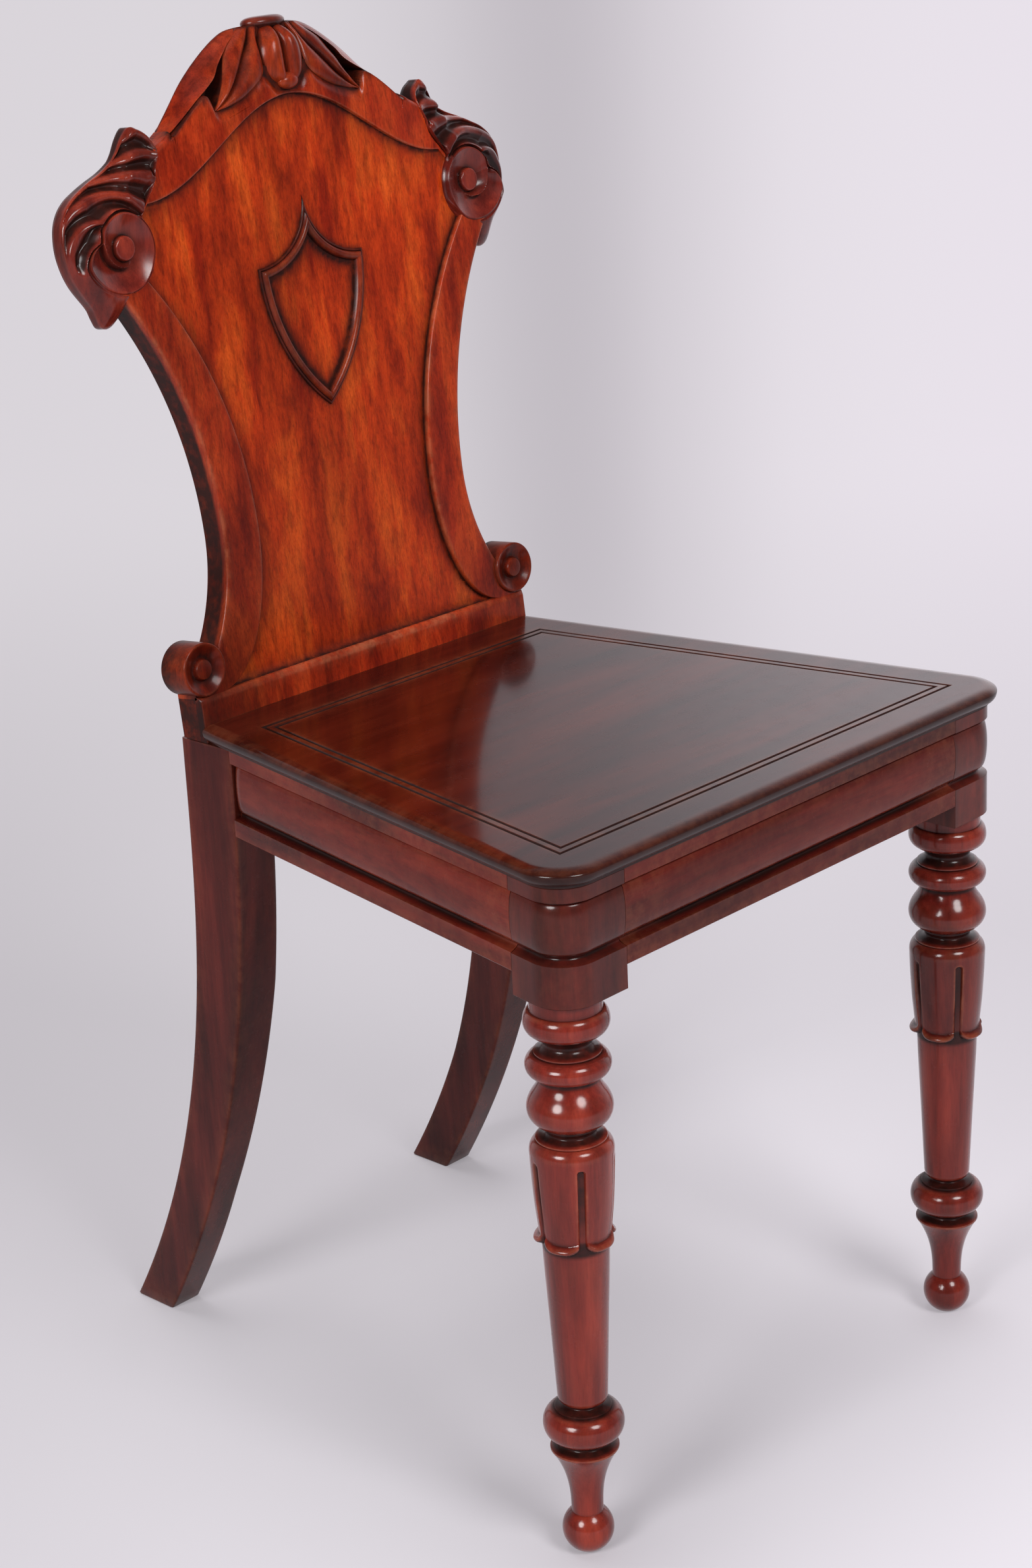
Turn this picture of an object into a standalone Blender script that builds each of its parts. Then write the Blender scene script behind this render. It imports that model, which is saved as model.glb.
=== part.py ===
"""A carved hall chair in mahogany: raked shield back, turned front legs, sabre rear legs.

Metres, +Z up. The sitter faces -Y. The origin is on the floor, under the middle of the chair.
The seat frame is drawn from the foot of the back: there y is zero, and the front is at minus y.
The back is drawn in its own raked plane: x across, y behind its face, z up the slope.
"""

import math

import bmesh
import bpy
from mathutils import Vector

# Fits: what touches keeps this gap, and a cutter runs this far past what it cuts.
CLEARANCE = 0.0003
OVERRUN = 0.006

# Seat board
SEAT_HEIGHT = 0.4400
SEAT_THICKNESS = 0.0113
SEAT_FRAME_DEPTH = 0.3522
SEAT_FRAME_BACK_WIDTH = 0.2890
SEAT_SPLAY_DEG = 10.5
CORNER_RADIUS = 0.0220
NOSE_OVERHANG = 0.0062
NOSE_ROUND_WIDTH = 0.0088
NOSE_ROUND_HEIGHT = 0.0032
NOSE_FILLET_HEIGHT = 0.0018
NOSE_FILLET_PROUD = 0.0008
LINE_INSET = 0.0290
LINE_BACK_INSET = 0.0320
LINE_SPACING = 0.0058
LINE_WIDTH = 0.0022
LINE_DEPTH = 0.0014
LINE_CORNER_RADIUS = 0.0040

# Moulding of the rails and of the front leg blocks, from the seat board downwards
FASCIA_HEIGHT = 0.0090
QUIRK_HEIGHT = 0.0012
QUIRK_DEPTH = 0.0030
FRIEZE_HEIGHT = 0.0303
CAVETTO_HEIGHT = 0.0056
CAVETTO_DEPTH = 0.0056
RAIL_BAND_HEIGHT = 0.0112
BLOCK_BAND_HEIGHT = 0.0254
RAIL_THICKNESS = 0.0200

# Joints of the seat frame
TENON_THICKNESS = 0.0080
TENON_LENGTH = 0.0170
TENON_SHOULDER = 0.0080

# Front leg: block
LEG_INSET = 0.0242
LEG_SIDE_INSET = 0.0233
BLOCK_INNER_REACH = 0.0255
BLOCK_REAR_REACH = 0.0211

# Front leg: turning, from the block downwards
NECK_RADIUS = 0.0211
NECK_HEIGHT = 0.0085
RING_RADIUS = 0.0247
RING_HEIGHT = 0.0146
RING_ROOT_RADIUS = 0.0180
FILLET_HEIGHT = 0.0012
WAIST_RADIUS = 0.0148
WAIST_HEIGHT = 0.0120
BULB_ROOT_RADIUS = 0.0165
BULB_NECK_HEIGHT = 0.0018
BULB_HEIGHT = 0.0290
SHOULDER_COVE_RADIUS = 0.0148
SHOULDER_COVE_HEIGHT = 0.0076
SHOULDER_FILLET_RADIUS = 0.0205
SHOULDER_HEIGHT = 0.0078
SHAFT_TOP_RADIUS = 0.0244

# Front leg: turning, from the floor upwards
BALL_RADIUS = 0.0155
BALL_CENTRE_HEIGHT = 0.0140
STEM_RADIUS = 0.0092
COLLAR_RIM_HEIGHT = 0.0692
COLLAR_RIM_RADIUS = 0.0205
COLLAR_NECK_RADIUS = 0.0145
COLLAR_DISH_HEIGHT = 0.0058
BEAD_RADIUS = 0.0240
BEAD_HEIGHT = 0.0200
BEAD_ROOT_RADIUS = 0.0165
ANKLE_RADIUS = 0.0116
ANKLE_HEIGHT = 0.0056
SHAFT_FOOT_RADIUS = 0.0150
SHAFT_FOOT_ROUND = 0.0045

# Front leg: lappets carved round the top of the shaft
LAPPET_COUNT = 5
LAPPET_LENGTH = 0.0530
LAPPET_PROUD = 0.0020
LAPPET_LIP_PROUD = 0.0036
LAPPET_LIP_HEIGHT = 0.0074
LAPPET_LIP_RISE = 0.0052
SLOT_DEG = 10.5
SLOT_WALL_DEG = 1.8

# Rear legs
REAR_LEG_OUTER = 0.1478
REAR_LEG_TOP_WIDTH = 0.0323
REAR_LEG_FOOT_WIDTH = 0.0240
REAR_LEG_TOP_FRONT = -0.0214
REAR_LEG_TOP_BACK = 0.0235
REAR_LEG_FRONT_SWEEP = 0.1074
REAR_LEG_BACK_SWEEP = 0.0985
REAR_LEG_BEND_HEIGHT = 0.4000
REAR_LEG_EDGE = 0.0012
FRONT_SWEEP_POWER = 2.3
BACK_SWEEP_POWER = 2.55

# Back rail and its mortises
BACK_RAIL_FRONT = -0.0012
BACK_RAIL_THICKNESS = 0.0235
BOARD_TENON_LENGTH = 0.0150
BOARD_TENON_WIDTH = 0.0400
BOARD_TENON_SPREAD = 0.0640

# Back: rake, board and border
RAKE_DEG = 6.2
BACK_HEIGHT = 0.4150
BACK_THICKNESS = 0.0215
FIELD_DEPTH = 0.0055
STILE_DEPTH = 0.0013
CREST_RAIL_DEPTH = 0.0018
CREST_RAIL_FALL = 0.0022
BACK_FOOT_HALF_WIDTH = 0.1478
BOTTOM_RAIL_HEIGHT = 0.0170
WAIST_LEVEL = 0.1120
WAIST_HALF_WIDTH = 0.1075
SHOULDER_HALF_WIDTH = 0.1827
OUTER_LOWER_RADIUS = 0.1300
STILE_WAIST_WIDTH = 0.0290
FIELD_SHOULDER_HALF_WIDTH = 0.1579
INNER_LOWER_WIDTH = 0.0500
ARCH_FALL = 0.0950
ARCH_RISE = 0.0510
ARCH_HALF_WIDTH = 0.1280

# Lower volutes
VOLUTE_ACROSS = 0.1415
VOLUTE_LEVEL = 0.0350
VOLUTE_RADIUS = 0.0170
VOLUTE_PROUD = 0.0012
VOLUTE_EYE_RADIUS = 0.0066
VOLUTE_DISH_DEPTH = 0.0036
VOLUTE_RIM_WIDTH = 0.0012

# Shoulder scrolls
SCROLL_ACROSS = 0.1490
SCROLL_FALL = 0.1160
SCROLL_REACH = 0.0400
SCROLL_EYE_RADIUS = 0.0076
SCROLL_EYE_PROUD = 0.0030
SCROLL_DISH_DEPTH = 0.0050
SCROLL_RIM_PROUD = 0.0020
SCROLL_TRENCH_DEPTH = 0.0040
SCROLL_TRENCH_WIDTH = 0.0022
FLUTE_DEPTH = 0.0042

# Crest
CREST_HALF_WIDTH = 0.0970
CREST_JOINT_RISE = 0.0050
CREST_JOINT_FALL = 0.0645
CREST_FALL = 0.0590
CREST_FACE_DEPTH = 0.0034
CREST_ROLL_WIDTH = 0.0060
CREST_ROLL_DEPTH = 0.0125
LEAF_FALL = 0.0500
LEAF_HEIGHT = 0.0034
LEAF_ROOT = 0.0030
OUTER_LEAF_WIDTH = 0.0115
BUD_HEIGHT = 0.0050
BUD_TIP_RADIUS = 0.0060
BUD_TIP_FALL = 0.0350
CAP_HALF_WIDTH = 0.0170
CAP_HALF_DEPTH = 0.0112
CAP_HEIGHT = 0.0044
CAP_CENTRE_DEPTH = 0.0185
CAP_PEG_RADIUS = 0.0030
CAP_PEG_LENGTH = 0.0080

# Shield cartouche
SHIELD_HALF_WIDTH = 0.0450
SHIELD_TIP_FALL = 0.1115
SHIELD_TIP_HEIGHT = 0.0355
SHIELD_SIDE_RADIUS = 0.1193
SHIELD_MOULDING_WIDTH = 0.0074
SHIELD_MOULDING_HEIGHT = 0.0038

# Hidden fixings
BLOCK_LEG_LENGTH = 0.0480
BLOCK_THICKNESS = 0.0300
BLOCK_LEG_CLEAR = 0.0040
SCREW_RADIUS = 0.0017
SCREW_HEAD_RADIUS = 0.0038
SCREW_LENGTH = 0.0370
SCREW_BITE = 0.0068
DOWEL_RADIUS = 0.0028
DOWEL_LENGTH = 0.0240
DOWEL_DEPTH = 0.0136
CREST_DOWEL_ACROSS = 0.0300

# The shoulder scroll in polar form about its eye: degrees outward and up, shares of SCROLL_REACH
SPIRAL_SHARES = (
    (-90, 0.725), (-60, 0.775), (-35, 0.825), (-18, 0.800), (-6, 0.700), (4, 0.560), (12, 0.430),
    (35, 0.462), (62, 0.472), (90, 0.485), (125, 0.495), (158, 0.515), (187, 0.540),
    (212, 0.585), (235, 0.640), (252, 0.680), (270, 0.725),
)
SCROLL_OUTLINE_SHARES = (
    (-90, 0.800), (-85, 1.170), (-79, 1.240), (-71, 1.240), (-66, 1.160), (-58, 1.040),
    (-46, 0.985), (-30, 0.965), (-13, 0.965), (2, 0.985), (13, 1.005), (25, 1.030), (37, 1.035),
    (48, 1.020), (62, 0.995), (78, 1.015), (91, 1.085), (101, 1.230), (105, 1.390), (107.5, 1.620),
    (110, 1.780), (114, 1.790), (119, 1.760), (122.5, 1.690), (126, 1.560), (128, 1.330), (131, 1.170),
    (134, 0.700), (140, 0.565), (158, 0.560), (187, 0.585), (212, 0.630), (235, 0.685),
    (252, 0.725), (262, 0.760), (270, 0.800),
)
# How deep its outline lies, as shares of BACK_THICKNESS
SCROLL_EDGE_SHARES = (
    (-90, 0.45), (-79, 0.62), (-60, 0.56), (-30, 0.48), (0, 0.48), (40, 0.51), (62, 0.60), (90, 0.68),
    (101, 0.70), (107, 0.62), (110, 0.52), (114, 0.44), (119, 0.36), (122.5, 0.26), (127, 0.09), (134, 0.07),
    (140, 0.14), (160, 0.22), (270, 0.22),
)
# The ridges between its flutes, from the innermost out
FLUTE_RIDGE_SHARES = (
    ((-30, 0.960), (-8, 0.945), (0, 0.935), (12, 0.870), (28, 0.740), (44, 0.540), (60, 0.300)),
    (
        (-12, 1.080), (20, 1.030), (34, 0.985), (53, 0.890), (73, 0.810), (96, 0.735), (116, 0.665),
        (134, 0.620),
    ),
    (
        (-12, 1.200), (48, 1.090), (66, 1.020), (83, 0.985), (104, 1.030), (122, 1.120), (127, 1.160),
        (134, 1.200),
    ),
    (
        (-12, 1.300), (78, 1.150), (88, 1.110), (98, 1.180), (107, 1.290), (115, 1.400), (122, 1.500),
        (134, 1.600),
    ),
    ((-12, 1.400), (92, 1.250), (98, 1.290), (103, 1.450), (108, 1.700), (134, 2.200)),
)

# The crest outline: shares of CREST_HALF_WIDTH across, and of CREST_FALL below the back's top
CREST_OUTLINE_SHARES = (
    (0.000, 0.000), (0.185, 0.010), (0.310, 0.055), (0.400, 0.113), (0.490, 0.197), (0.560, 0.282),
    (0.605, 0.350), (0.695, 0.508), (0.775, 0.645), (0.850, 0.797), (0.925, 0.917), (1.000, 1.000),
    (1.080, 1.058), (1.160, 1.107),
)
# The leaves laid on the crest, from neck to tip: near edge and far edge, each as a share of
# CREST_HALF_WIDTH across and a share of LEAF_FALL below the crest's top
INNER_LEAF_SHARES = (
    (0.060, 0.02, 0.200, 0.03), (0.130, 0.17, 0.330, 0.13), (0.165, 0.37, 0.425, 0.26),
    (0.200, 0.58, 0.475, 0.42), (0.275, 0.72, 0.520, 0.52), (0.380, 0.83, 0.556, 0.65),
    (0.500, 0.92, 0.598, 0.79), (0.624, 0.965, 0.640, 0.955),
)
BUD_SHARES = (
    (-0.070, 0.03, 0.070, 0.03), (-0.120, 0.20, 0.120, 0.20), (-0.150, 0.36, 0.150, 0.36),
    (-0.138, 0.50, 0.138, 0.50), (-0.095, 0.61, 0.095, 0.61), (-0.030, 0.68, 0.030, 0.68),
)
# The outer leaf follows the crest's outline: share of CREST_HALF_WIDTH across, and its width as a share
OUTER_LEAF_SHARES = (
    (0.330, 0.25), (0.420, 0.60), (0.500, 0.90), (0.600, 1.00), (0.700, 1.00), (0.800, 0.90), (0.890, 0.62),
    (0.970, 0.12),
)


def clear_scene():
    for item in list(bpy.data.objects):
        bpy.data.objects.remove(item, do_unlink=True)


def wood(name, colour, roughness):
    """A plain polished wood, or with another name the steel of a screw."""
    material = bpy.data.materials.new(name)
    material.use_nodes = True
    shader = material.node_tree.nodes["Principled BSDF"]
    shader.inputs["Base Color"].default_value = (*colour, 1.0)
    shader.inputs["Roughness"].default_value = roughness
    return material


def empty(name, location, parent=None, tilt=0.0):
    holder = bpy.data.objects.new(name, None)
    holder.location = location
    holder.rotation_euler = (tilt, 0.0, 0.0)
    holder.parent = parent
    bpy.context.scene.collection.objects.link(holder)
    return holder


def place(name, shape, material, parent, smooth_deg=None):
    """Turns a bmesh into a named object under its parent."""
    bmesh.ops.recalc_face_normals(shape, faces=shape.faces)
    mesh = bpy.data.meshes.new(name)
    shape.to_mesh(mesh)
    shape.free()
    mesh.materials.append(material)
    if smooth_deg is not None:
        mesh.shade_smooth()
        mesh.set_sharp_from_angle(angle=math.radians(smooth_deg))
    piece = bpy.data.objects.new(name, mesh)
    piece.parent = parent
    bpy.context.scene.collection.objects.link(piece)
    return piece


def combine(piece, other, operation):
    """Adds a Boolean to a piece. The other body only helps, so it isn't rendered."""
    modifier = piece.modifiers.new(other.name, "BOOLEAN")
    modifier.operation = operation
    modifier.solver = "EXACT"
    modifier.object = other
    other.hide_render = True
    other.display_type = "WIRE"


def soften(piece, width, segments=1, angle_deg=50.0):
    modifier = piece.modifiers.new("softened arrises", "BEVEL")
    modifier.width = width
    modifier.segments = segments
    modifier.limit_method = "ANGLE"
    modifier.angle_limit = math.radians(angle_deg)


def loft(rings):
    """A closed body through closed rings of equally many points."""
    shape = bmesh.new()
    rows = [[shape.verts.new(point) for point in ring] for ring in rings]
    for lower, upper in zip(rows, rows[1:]):
        for i in range(len(lower)):
            j = (i + 1) % len(lower)
            shape.faces.new((lower[i], lower[j], upper[j], upper[i]))
    shape.faces.new(rows[0])
    shape.faces.new(rows[-1])
    return shape


def box(low, high):
    """A box between two corners."""
    ring = ((low[0], low[1]), (high[0], low[1]), (high[0], high[1]), (low[0], high[1]))
    return loft([[(x, y, z) for x, y in ring] for z in (low[2], high[2])])


def slab(outline, front, rear):
    """A flat piece of the back: an outline of (across, up), from depth front to depth rear."""
    return loft([[(x, y, z) for x, z in outline] for y in (front, rear)])


def shoelace(outline):
    turned = list(outline[1:]) + [outline[0]]
    return sum(a[0] * b[1] - b[0] * a[1] for a, b in zip(outline, turned)) / 2


def grown(outline, distance):
    """The outline moved outwards by a distance, with mitred corners."""
    if shoelace(outline) < 0:
        outline = outline[::-1]
    result = []
    for before, here, after in zip(outline[-1:] + outline[:-1], outline, outline[1:] + outline[:1]):
        one = Vector((here[0] - before[0], here[1] - before[1])).normalized()
        two = Vector((after[0] - here[0], after[1] - here[1])).normalized()
        normal = Vector((one.y + two.y, -one.x - two.x)).normalized()
        stretch = max(normal.dot(Vector((one.y, -one.x))), 0.5)
        result.append((here[0] + normal.x * distance / stretch, here[1] + normal.y * distance / stretch))
    return result


def arc(centre, radius, start_deg, end_deg, steps):
    return [
        (
            centre[0] + radius * math.cos(math.radians(start_deg + (end_deg - start_deg) * i / steps)),
            centre[1] + radius * math.sin(math.radians(start_deg + (end_deg - start_deg) * i / steps)),
        )
        for i in range(steps + 1)
    ]


def table(rows, key):
    """Straight-line reading of a table of rows (key, value), held at its ends."""
    if key <= rows[0][0]:
        return rows[0][1]
    for (a, low), (b, high) in zip(rows, rows[1:]):
        if key <= b:
            return low + (high - low) * (key - a) / (b - a)
    return rows[-1][1]


def smooth_table(rows, key):
    """The same table read along a smooth curve through its rows."""
    for i in range(len(rows) - 1):
        (a, low), (b, high) = rows[i], rows[i + 1]
        if a <= key <= b:
            before = rows[max(i - 1, 0)]
            after = rows[min(i + 2, len(rows) - 1)]
            start = (high - before[1]) / (b - before[0]) * (b - a)
            end = (after[1] - low) / (after[0] - a) * (b - a)
            t = (key - a) / (b - a)
            return (
                low * (1 + 2 * t) * (1 - t) ** 2
                + start * t * (1 - t) ** 2
                + high * t * t * (3 - 2 * t)
                - end * t * t * (1 - t)
            )
    return rows[0][1] if key < rows[0][0] else rows[-1][1]


# Seat frame: its plan, the moulding round it, and the pieces

SPLAY = math.radians(SEAT_SPLAY_DEG)
FRAME_TOP = SEAT_HEIGHT - SEAT_THICKNESS
RAIL_HEIGHT = FASCIA_HEIGHT + QUIRK_HEIGHT + FRIEZE_HEIGHT + CAVETTO_HEIGHT + RAIL_BAND_HEIGHT
BLOCK_HEIGHT = RAIL_HEIGHT - RAIL_BAND_HEIGHT + BLOCK_BAND_HEIGHT
BLOCK_BOTTOM = FRAME_TOP - BLOCK_HEIGHT
CORNER_CENTRE_Y = CORNER_RADIUS - SEAT_FRAME_DEPTH


def side_x(y, outward):
    """Where a line outward of the frame's side face by this much crosses a depth y."""
    return SEAT_FRAME_BACK_WIDTH / 2 - y * math.tan(SPLAY) + outward / math.cos(SPLAY)


CORNER_CENTRE_X = side_x(CORNER_CENTRE_Y, -CORNER_RADIUS)
LEG_Y = LEG_INSET - SEAT_FRAME_DEPTH
LEG_X = side_x(LEG_Y, -LEG_SIDE_INSET)
BLOCK_REAR_Y = LEG_Y + BLOCK_REAR_REACH
BLOCK_INNER_X = LEG_X - BLOCK_INNER_REACH


def corner_arc(outward, steps):
    """The rounded front corner on the right, from the front face round to the side face."""
    centre = (CORNER_CENTRE_X, CORNER_CENTRE_Y)
    return arc(centre, CORNER_RADIUS + outward, -90.0, SEAT_SPLAY_DEG, steps)


def moulding(band_height):
    """The rail's profile as (outward, drop below the seat board), downwards."""
    points = [(0.0, 0.0), (0.0, FASCIA_HEIGHT)]
    drop = FASCIA_HEIGHT + QUIRK_HEIGHT
    for i in range(7):
        angle = math.pi * i / 6
        points.append((QUIRK_DEPTH * (math.sin(angle) - 1), drop + FRIEZE_HEIGHT * (1 - math.cos(angle)) / 2))
    drop += FRIEZE_HEIGHT
    for share in (0.3, 0.65):
        dip = (CAVETTO_DEPTH - QUIRK_DEPTH * (1 - share)) * math.sin(math.pi * share)
        points.append((-QUIRK_DEPTH * (1 - share) - dip, drop + CAVETTO_HEIGHT * share))
    drop += CAVETTO_HEIGHT
    points.append((0.0, drop))
    points.append((0.0, drop + band_height))
    return points


def rail_body(section_at, ends):
    """A rail: its section placed at each end."""
    section = moulding(RAIL_BAND_HEIGHT)
    section += [(-RAIL_THICKNESS, RAIL_HEIGHT), (-RAIL_THICKNESS, 0.0)]
    return loft([[section_at(end, outward, drop) for outward, drop in section] for end in ends])


def tenon_levels():
    return FRAME_TOP - RAIL_HEIGHT + TENON_SHOULDER, FRAME_TOP - TENON_SHOULDER


def add_front_rail(material, root):
    def section_at(x, outward, drop):
        return (x, -SEAT_FRAME_DEPTH - outward, FRAME_TOP - drop)

    reach = BLOCK_INNER_X - CLEARANCE
    rail = place("front_rail", rail_body(section_at, (-reach, reach)), material, root, 40.0)
    low, high = tenon_levels()
    middle = RAIL_THICKNESS / 2 - SEAT_FRAME_DEPTH
    for side in (-1, 1):
        near = side * (reach - OVERRUN)
        far = side * (BLOCK_INNER_X + TENON_LENGTH)
        half = TENON_THICKNESS / 2
        corners = (min(near, far), middle - half, low), (max(near, far), middle + half, high)
        tenon = place(f"front_rail_tenon_{side}", box(*corners), material, root)
        combine(rail, tenon, "UNION")


def side_tenon(side, y_end, room, material, root, name):
    """A side rail's tenon, or with room its mortise, square to the leg's face at y_end."""
    low, high = tenon_levels()
    middle = side * side_x(y_end, -RAIL_THICKNESS / 2)
    forward = 1.0 if y_end > BLOCK_REAR_Y + RAIL_THICKNESS else -1.0
    ends = sorted((y_end - forward * OVERRUN, y_end + forward * (TENON_LENGTH + room)))
    half = TENON_THICKNESS / 2 + room
    return place(
        name, box((middle - half, ends[0], low - room), (middle + half, ends[1], high + room)), material, root
    )


def add_side_rail(side, word, material, root):
    def section_at(y, outward, drop):
        return (side * side_x(y, outward), y, FRAME_TOP - drop)

    ends = (BLOCK_REAR_Y + CLEARANCE, REAR_LEG_TOP_FRONT - CLEARANCE)
    rail = place(f"{word}_side_rail", rail_body(section_at, ends), material, root, 40.0)
    for y_end in (BLOCK_REAR_Y, REAR_LEG_TOP_FRONT):
        tenon = side_tenon(side, y_end, 0.0, material, root, f"{word}_side_tenon_{y_end:.3f}")
        combine(rail, tenon, "UNION")


def back_tenon(side, room, material, root):
    """The back rail's tenon, or with room its mortise."""
    low, high = tenon_levels()
    face = REAR_LEG_OUTER - REAR_LEG_TOP_WIDTH
    ends = sorted((side * (face - OVERRUN), side * (face + TENON_LENGTH + room)))
    middle = BACK_RAIL_FRONT + BACK_RAIL_THICKNESS / 2
    half = TENON_THICKNESS / 2 + room
    corners = (ends[0], middle - half, low - room), (ends[1], middle + half, high + room)
    return place(f"back_tenon_{side}_{room}", box(*corners), material, root)


def board_tenons(room, material, back):
    """The back board's stub tenons, or with room their mortises, drawn in the raked plane."""
    middle = (FIELD_DEPTH + BACK_THICKNESS) / 2
    half = TENON_THICKNESS / 2 + room
    foot = -SEAT_THICKNESS / math.cos(math.radians(RAKE_DEG))
    pieces = []
    for side in (-1, 1):
        centre = side * BOARD_TENON_SPREAD
        low = (centre - BOARD_TENON_WIDTH / 2 - room, middle - half, foot - BOARD_TENON_LENGTH - room)
        high = (centre + BOARD_TENON_WIDTH / 2 + room, middle + half, foot + OVERRUN + room)
        pieces.append(place(f"board_tenon_{side}_{room}", box(low, high), material, back))
    return pieces


def add_back_rail(material, root, back):
    reach = REAR_LEG_OUTER - REAR_LEG_TOP_WIDTH - CLEARANCE
    low = (-reach, BACK_RAIL_FRONT, FRAME_TOP - RAIL_HEIGHT)
    high = (reach, BACK_RAIL_FRONT + BACK_RAIL_THICKNESS, FRAME_TOP)
    rail = place("back_rail", box(low, high), material, root)
    for side in (-1, 1):
        combine(rail, back_tenon(side, 0.0, material, root), "UNION")
    for mortise in board_tenons(CLEARANCE, material, back):
        combine(rail, mortise, "DIFFERENCE")


def seat_outline(outward, drop, steps):
    """The seat board's plan at an offset, mirrored about its middle, its back edge raked like the back."""
    back_y = -drop * math.tan(math.radians(RAKE_DEG)) - CLEARANCE
    right = corner_arc(outward, steps) + [(side_x(back_y, outward), back_y)]
    return [(-x, y) for x, y in reversed(right)] + right


def seat_profile():
    """The thumbnail edge as (outward, drop below the top), upwards."""
    points = [(NOSE_FILLET_PROUD, SEAT_THICKNESS), (NOSE_FILLET_PROUD, SEAT_THICKNESS - NOSE_FILLET_HEIGHT)]
    under = SEAT_THICKNESS - NOSE_FILLET_HEIGHT - NOSE_ROUND_HEIGHT
    reach = NOSE_OVERHANG - NOSE_FILLET_PROUD
    for i in range(1, 5):
        angle = math.pi / 2 * i / 4
        drop = NOSE_ROUND_HEIGHT + under * math.cos(angle)
        points.append((NOSE_FILLET_PROUD + reach * math.sin(angle), drop))
    for i in range(1, 5):
        angle = math.pi / 2 * i / 4
        drop = NOSE_ROUND_HEIGHT * (1 - math.sin(angle))
        points.append((NOSE_OVERHANG - NOSE_ROUND_WIDTH * (1 - math.cos(angle)), drop))
    return points


def line_path(inset):
    """One incised line's plan: a splayed rectangle with slightly rounded corners."""
    front_y = inset - NOSE_OVERHANG - SEAT_FRAME_DEPTH
    back_y = -inset + LINE_INSET - LINE_BACK_INSET
    outward = NOSE_OVERHANG - inset
    corners = [(side_x(back_y, outward), back_y), (side_x(front_y, outward), front_y)]
    points = []
    for (x, y), start, end in zip(corners, (90.0, SEAT_SPLAY_DEG), (SEAT_SPLAY_DEG, -90.0)):
        inward = 1.0 if y == front_y else -1.0
        centre = (x - LINE_CORNER_RADIUS, y + inward * LINE_CORNER_RADIUS)
        points += arc(centre, LINE_CORNER_RADIUS, start, end, 3)
    return points + [(-x, y) for x, y in reversed(points)]


def incised_line(name, inset, material, root):
    """The V-shaped ring that cuts one incised line."""
    outer = grown(line_path(inset), LINE_WIDTH / 2)
    middle = grown(line_path(inset), 0.0)
    inner = grown(line_path(inset), -LINE_WIDTH / 2)
    shape = bmesh.new()
    levels = [(outer, SEAT_HEIGHT), (middle, SEAT_HEIGHT - LINE_DEPTH)]
    levels += [(inner, SEAT_HEIGHT), (middle, SEAT_HEIGHT + LINE_DEPTH)]
    rows = [[shape.verts.new((x, y, z)) for x, y in path] for path, z in levels]
    for one, two in zip(rows, rows[1:] + rows[:1]):
        for i in range(len(one)):
            j = (i + 1) % len(one)
            shape.faces.new((one[i], one[j], two[j], two[i]))
    return place(name, shape, material, root)


def add_seat(material, root):
    rings = [
        [(x, y, SEAT_HEIGHT - drop) for x, y in seat_outline(outward, drop, 6)]
        for outward, drop in seat_profile()
    ]
    seat = place("seat_top", loft(rings), material, root, 35.0)
    combine(seat, incised_line("outer_line", LINE_INSET, material, root), "DIFFERENCE")
    combine(seat, incised_line("inner_line", LINE_INSET + LINE_SPACING, material, root), "DIFFERENCE")
    return seat


# Front legs

UPPER_TURNING = (
    NECK_HEIGHT
    + RING_HEIGHT
    + WAIST_HEIGHT
    + RING_HEIGHT
    + BULB_NECK_HEIGHT
    + BULB_HEIGHT
    + SHOULDER_COVE_HEIGHT
)
SHAFT_TOP = BLOCK_BOTTOM - UPPER_TURNING
BEAD_FOOT = COLLAR_RIM_HEIGHT + COLLAR_DISH_HEIGHT
SHAFT_FOOT = BEAD_FOOT + BEAD_HEIGHT + ANKLE_HEIGHT
LAPPET_TOP = SHAFT_TOP - SHOULDER_HEIGHT - LAPPET_LIP_RISE
LAPPET_FOOT = LAPPET_TOP - LAPPET_LENGTH


def bead(top, height, radius, top_radius, foot_radius, steps):
    """A round ring of the turning, downwards, as (radius, z)."""
    points = []
    for i in range(steps + 1):
        angle = math.pi * i / steps
        root = top_radius if i <= steps / 2 else foot_radius
        points.append((root + (radius - root) * math.sin(angle), top - height * (1 - math.cos(angle)) / 2))
    return points


def cove(top, height, top_radius, throat_radius, foot_radius):
    """A hollow of the turning, downwards, narrowest a third of the way down."""
    return [
        (top_radius, top),
        (throat_radius, top - height * 0.3),
        (throat_radius + (foot_radius - throat_radius) * 0.3, top - height * 0.70),
        (foot_radius, top - height),
    ]


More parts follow.
